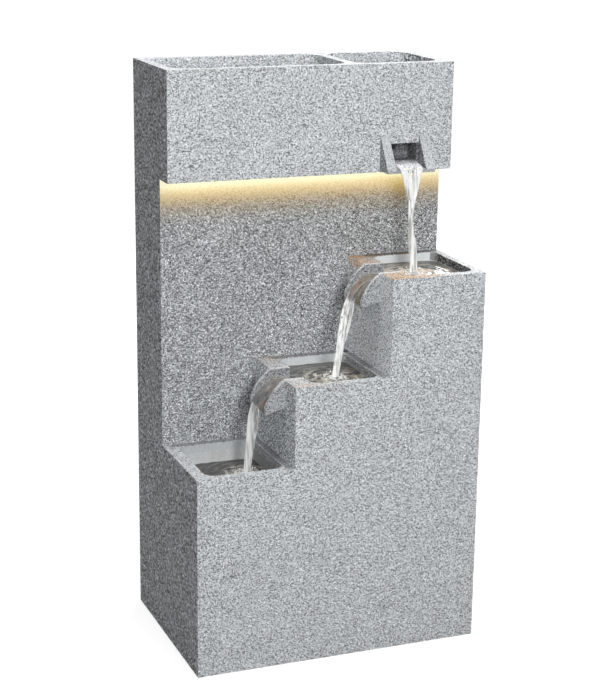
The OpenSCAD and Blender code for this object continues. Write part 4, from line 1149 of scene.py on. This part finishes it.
class FOUNTAIN_OT_rear(bpy.types.Operator):
    """Round off the door, the grommet, the drain plug and the bungs"""
    bl_idname = "fountain.rear"
    bl_label = "Door, grommet and plugs"

    # Node, body, rounding in millimetres, slot
    ROWS = (("access_door", "rear_door", 1.2, "black_plastic"),
            ("cable_grommet", "fountain", 1.0, "black_rubber"),
            ("drain_plug", "drain_plug", 0.5, "black_rubber"),
            ("large_planter_plug", "large_planter_plug", 1.0, "black_rubber"),
            ("small_planter_plug", "small_planter_plug", 1.0, "black_rubber"))

    def execute(self, context):
        finishes = {"black_plastic": moulded("door_plastic", (0.04, 0.041, 0.045), 0.5, 0.1),
                    "black_rubber": moulded("plug_rubber", (0.025, 0.025, 0.027), 0.7, 0.12)}
        for node, body, width, slot in self.ROWS:
            piece = welded_copy(node, "rounded_" + node)
            round_edges(piece, width * MM)
            settle(piece, body, slot, finishes[slot])
        return {"FINISHED"}


class FOUNTAIN_OT_stage(bpy.types.Operator):
    """Add the camera, the softboxes, the sky and the floor"""
    bl_idname = "fountain.stage"
    bl_label = "Stage"

    # Name, place, width and setting of the power
    SOFTBOXES = (("front_softbox", (-0.30, -2.5, 1.45), 0.9, "key"),
                 ("top_softbox", (0.0, -0.2, 3.2), 1.5, "top"),
                 ("back_softbox", (1.9, 2.9, 1.6), 1.8, "back"))
    FLOOR_SIZE = 40.0

    def execute(self, context):
        scene = context.scene
        stage = scene.fountain_stage
        scene.view_settings.view_transform = "Standard"
        self.camera(scene, stage)
        target = (cad_low + cad_high) / 2
        for name, place, size, power in self.SOFTBOXES:
            self.softbox(name, place, target, size, getattr(stage, power))
        self.sky(scene, stage)
        self.floor()
        return {"FINISHED"}

    def camera(self, scene, stage):
        data = bpy.data.cameras.new("camera")
        data.lens = stage.lens
        camera = bpy.data.objects.new("camera", data)
        turn = (Matrix.Rotation(stage.heading, 4, "Z")
                @ Matrix.Rotation(math.pi / 2 + stage.pitch, 4, "X")
                @ Matrix.Rotation(stage.roll, 4, "Z"))
        camera.matrix_world = Matrix.Translation(stage.eye) @ turn
        scene.collection.objects.link(camera)
        scene.camera = camera

    def softbox(self, name, place, target, size, power):
        deselect_all()
        bpy.ops.object.light_add(type="AREA", location=place)
        lamp = name_piece(bpy.context.active_object, name)
        lamp.data.shape = "DISK"
        lamp.data.size = size
        lamp.data.energy = power
        way = target - Vector(place)
        lamp.rotation_euler = way.to_track_quat("-Z", "Y").to_euler()

    def sky(self, scene, stage):
        """White where it is seen, mirrored or looked at through water, and soft grey as light."""
        f = Finish("studio", "worlds")
        level = f.node("ShaderNodeMapRange", inputs={
            "Value": self.seen(f), "To Min": stage.sky, "To Max": 1.0})
        background = f.node("ShaderNodeBackground", inputs={"Color": WHITE, "Strength": level})
        scene.world = f.done(background, "World")

    @staticmethod
    def seen(f):
        """1 for camera, glossy and transmission rays."""
        camera, glossy, through = (
            f.node("ShaderNodeLightPath", output=kind)
            for kind in ("Is Camera Ray", "Is Glossy Ray", "Is Transmission Ray"))
        return camera.at_least(glossy).at_least(through)

    def floor(self):
        """A pale floor that looks white where it is open and keeps the shadow close by."""
        deselect_all()
        bpy.ops.mesh.primitive_plane_add(size=self.FLOOR_SIZE)
        floor = name_piece(bpy.context.active_object, "floor")
        f = Finish("floor")
        open_floor = f.step(f.distance((0.0, 0.0, 0.0)), 0.5, 1.7)
        glow = self.seen(f) * (0.78 + open_floor * 0.22)
        cloud = f.noise(f.place(), 3.0, 2.0)
        colour = f.mix((0.29, 0.29, 0.29), (0.31, 0.31, 0.31), cloud)
        diffuse = f.node("ShaderNodeBsdfDiffuse", inputs={0: colour})
        emission = f.node("ShaderNodeEmission", inputs={0: WHITE, 1: glow})
        floor.data.materials.append(
            f.done(f.node("ShaderNodeAddShader", inputs={0: diffuse, 1: emission})))


class FOUNTAIN_PT_panel(bpy.types.Panel):
    """The fountain's steps and settings"""
    bl_idname = "FOUNTAIN_PT_panel"
    bl_label = "Fountain"
    bl_space_type = "VIEW_3D"
    bl_region_type = "UI"
    bl_category = "Fountain"

    def draw(self, context):
        layout = self.layout
        for operator in OPERATORS:
            layout.operator(operator.bl_idname)
        for name, group in SETTINGS.items():
            box = layout.box()
            for key in group.__annotations__:
                box.prop(getattr(context.scene, name), key)


OPERATORS = (FOUNTAIN_OT_stage, FOUNTAIN_OT_mouldings, FOUNTAIN_OT_weirs, FOUNTAIN_OT_spout,
             FOUNTAIN_OT_basins, FOUNTAIN_OT_pools, FOUNTAIN_OT_falls, FOUNTAIN_OT_light,
             FOUNTAIN_OT_inside, FOUNTAIN_OT_rear)
SETTINGS = {"fountain_stone": StoneSettings, "fountain_water": WaterSettings,
            "fountain_glow": GlowSettings, "fountain_stage": StageSettings}


def register():
    for name, group in SETTINGS.items():
        bpy.utils.register_class(group)
        setattr(bpy.types.Scene, name, PointerProperty(type=group))
    for made in (*OPERATORS, FOUNTAIN_PT_panel):
        bpy.utils.register_class(made)


def unregister():
    for made in (FOUNTAIN_PT_panel, *reversed(OPERATORS)):
        bpy.utils.unregister_class(made)
    for name, group in SETTINGS.items():
        delattr(bpy.types.Scene, name)
        bpy.utils.unregister_class(group)


def main():
    register()
    for operator in OPERATORS:
        module, name = operator.bl_idname.split(".")
        getattr(getattr(bpy.ops, module), name)()


if __name__ == "__main__":
    main()
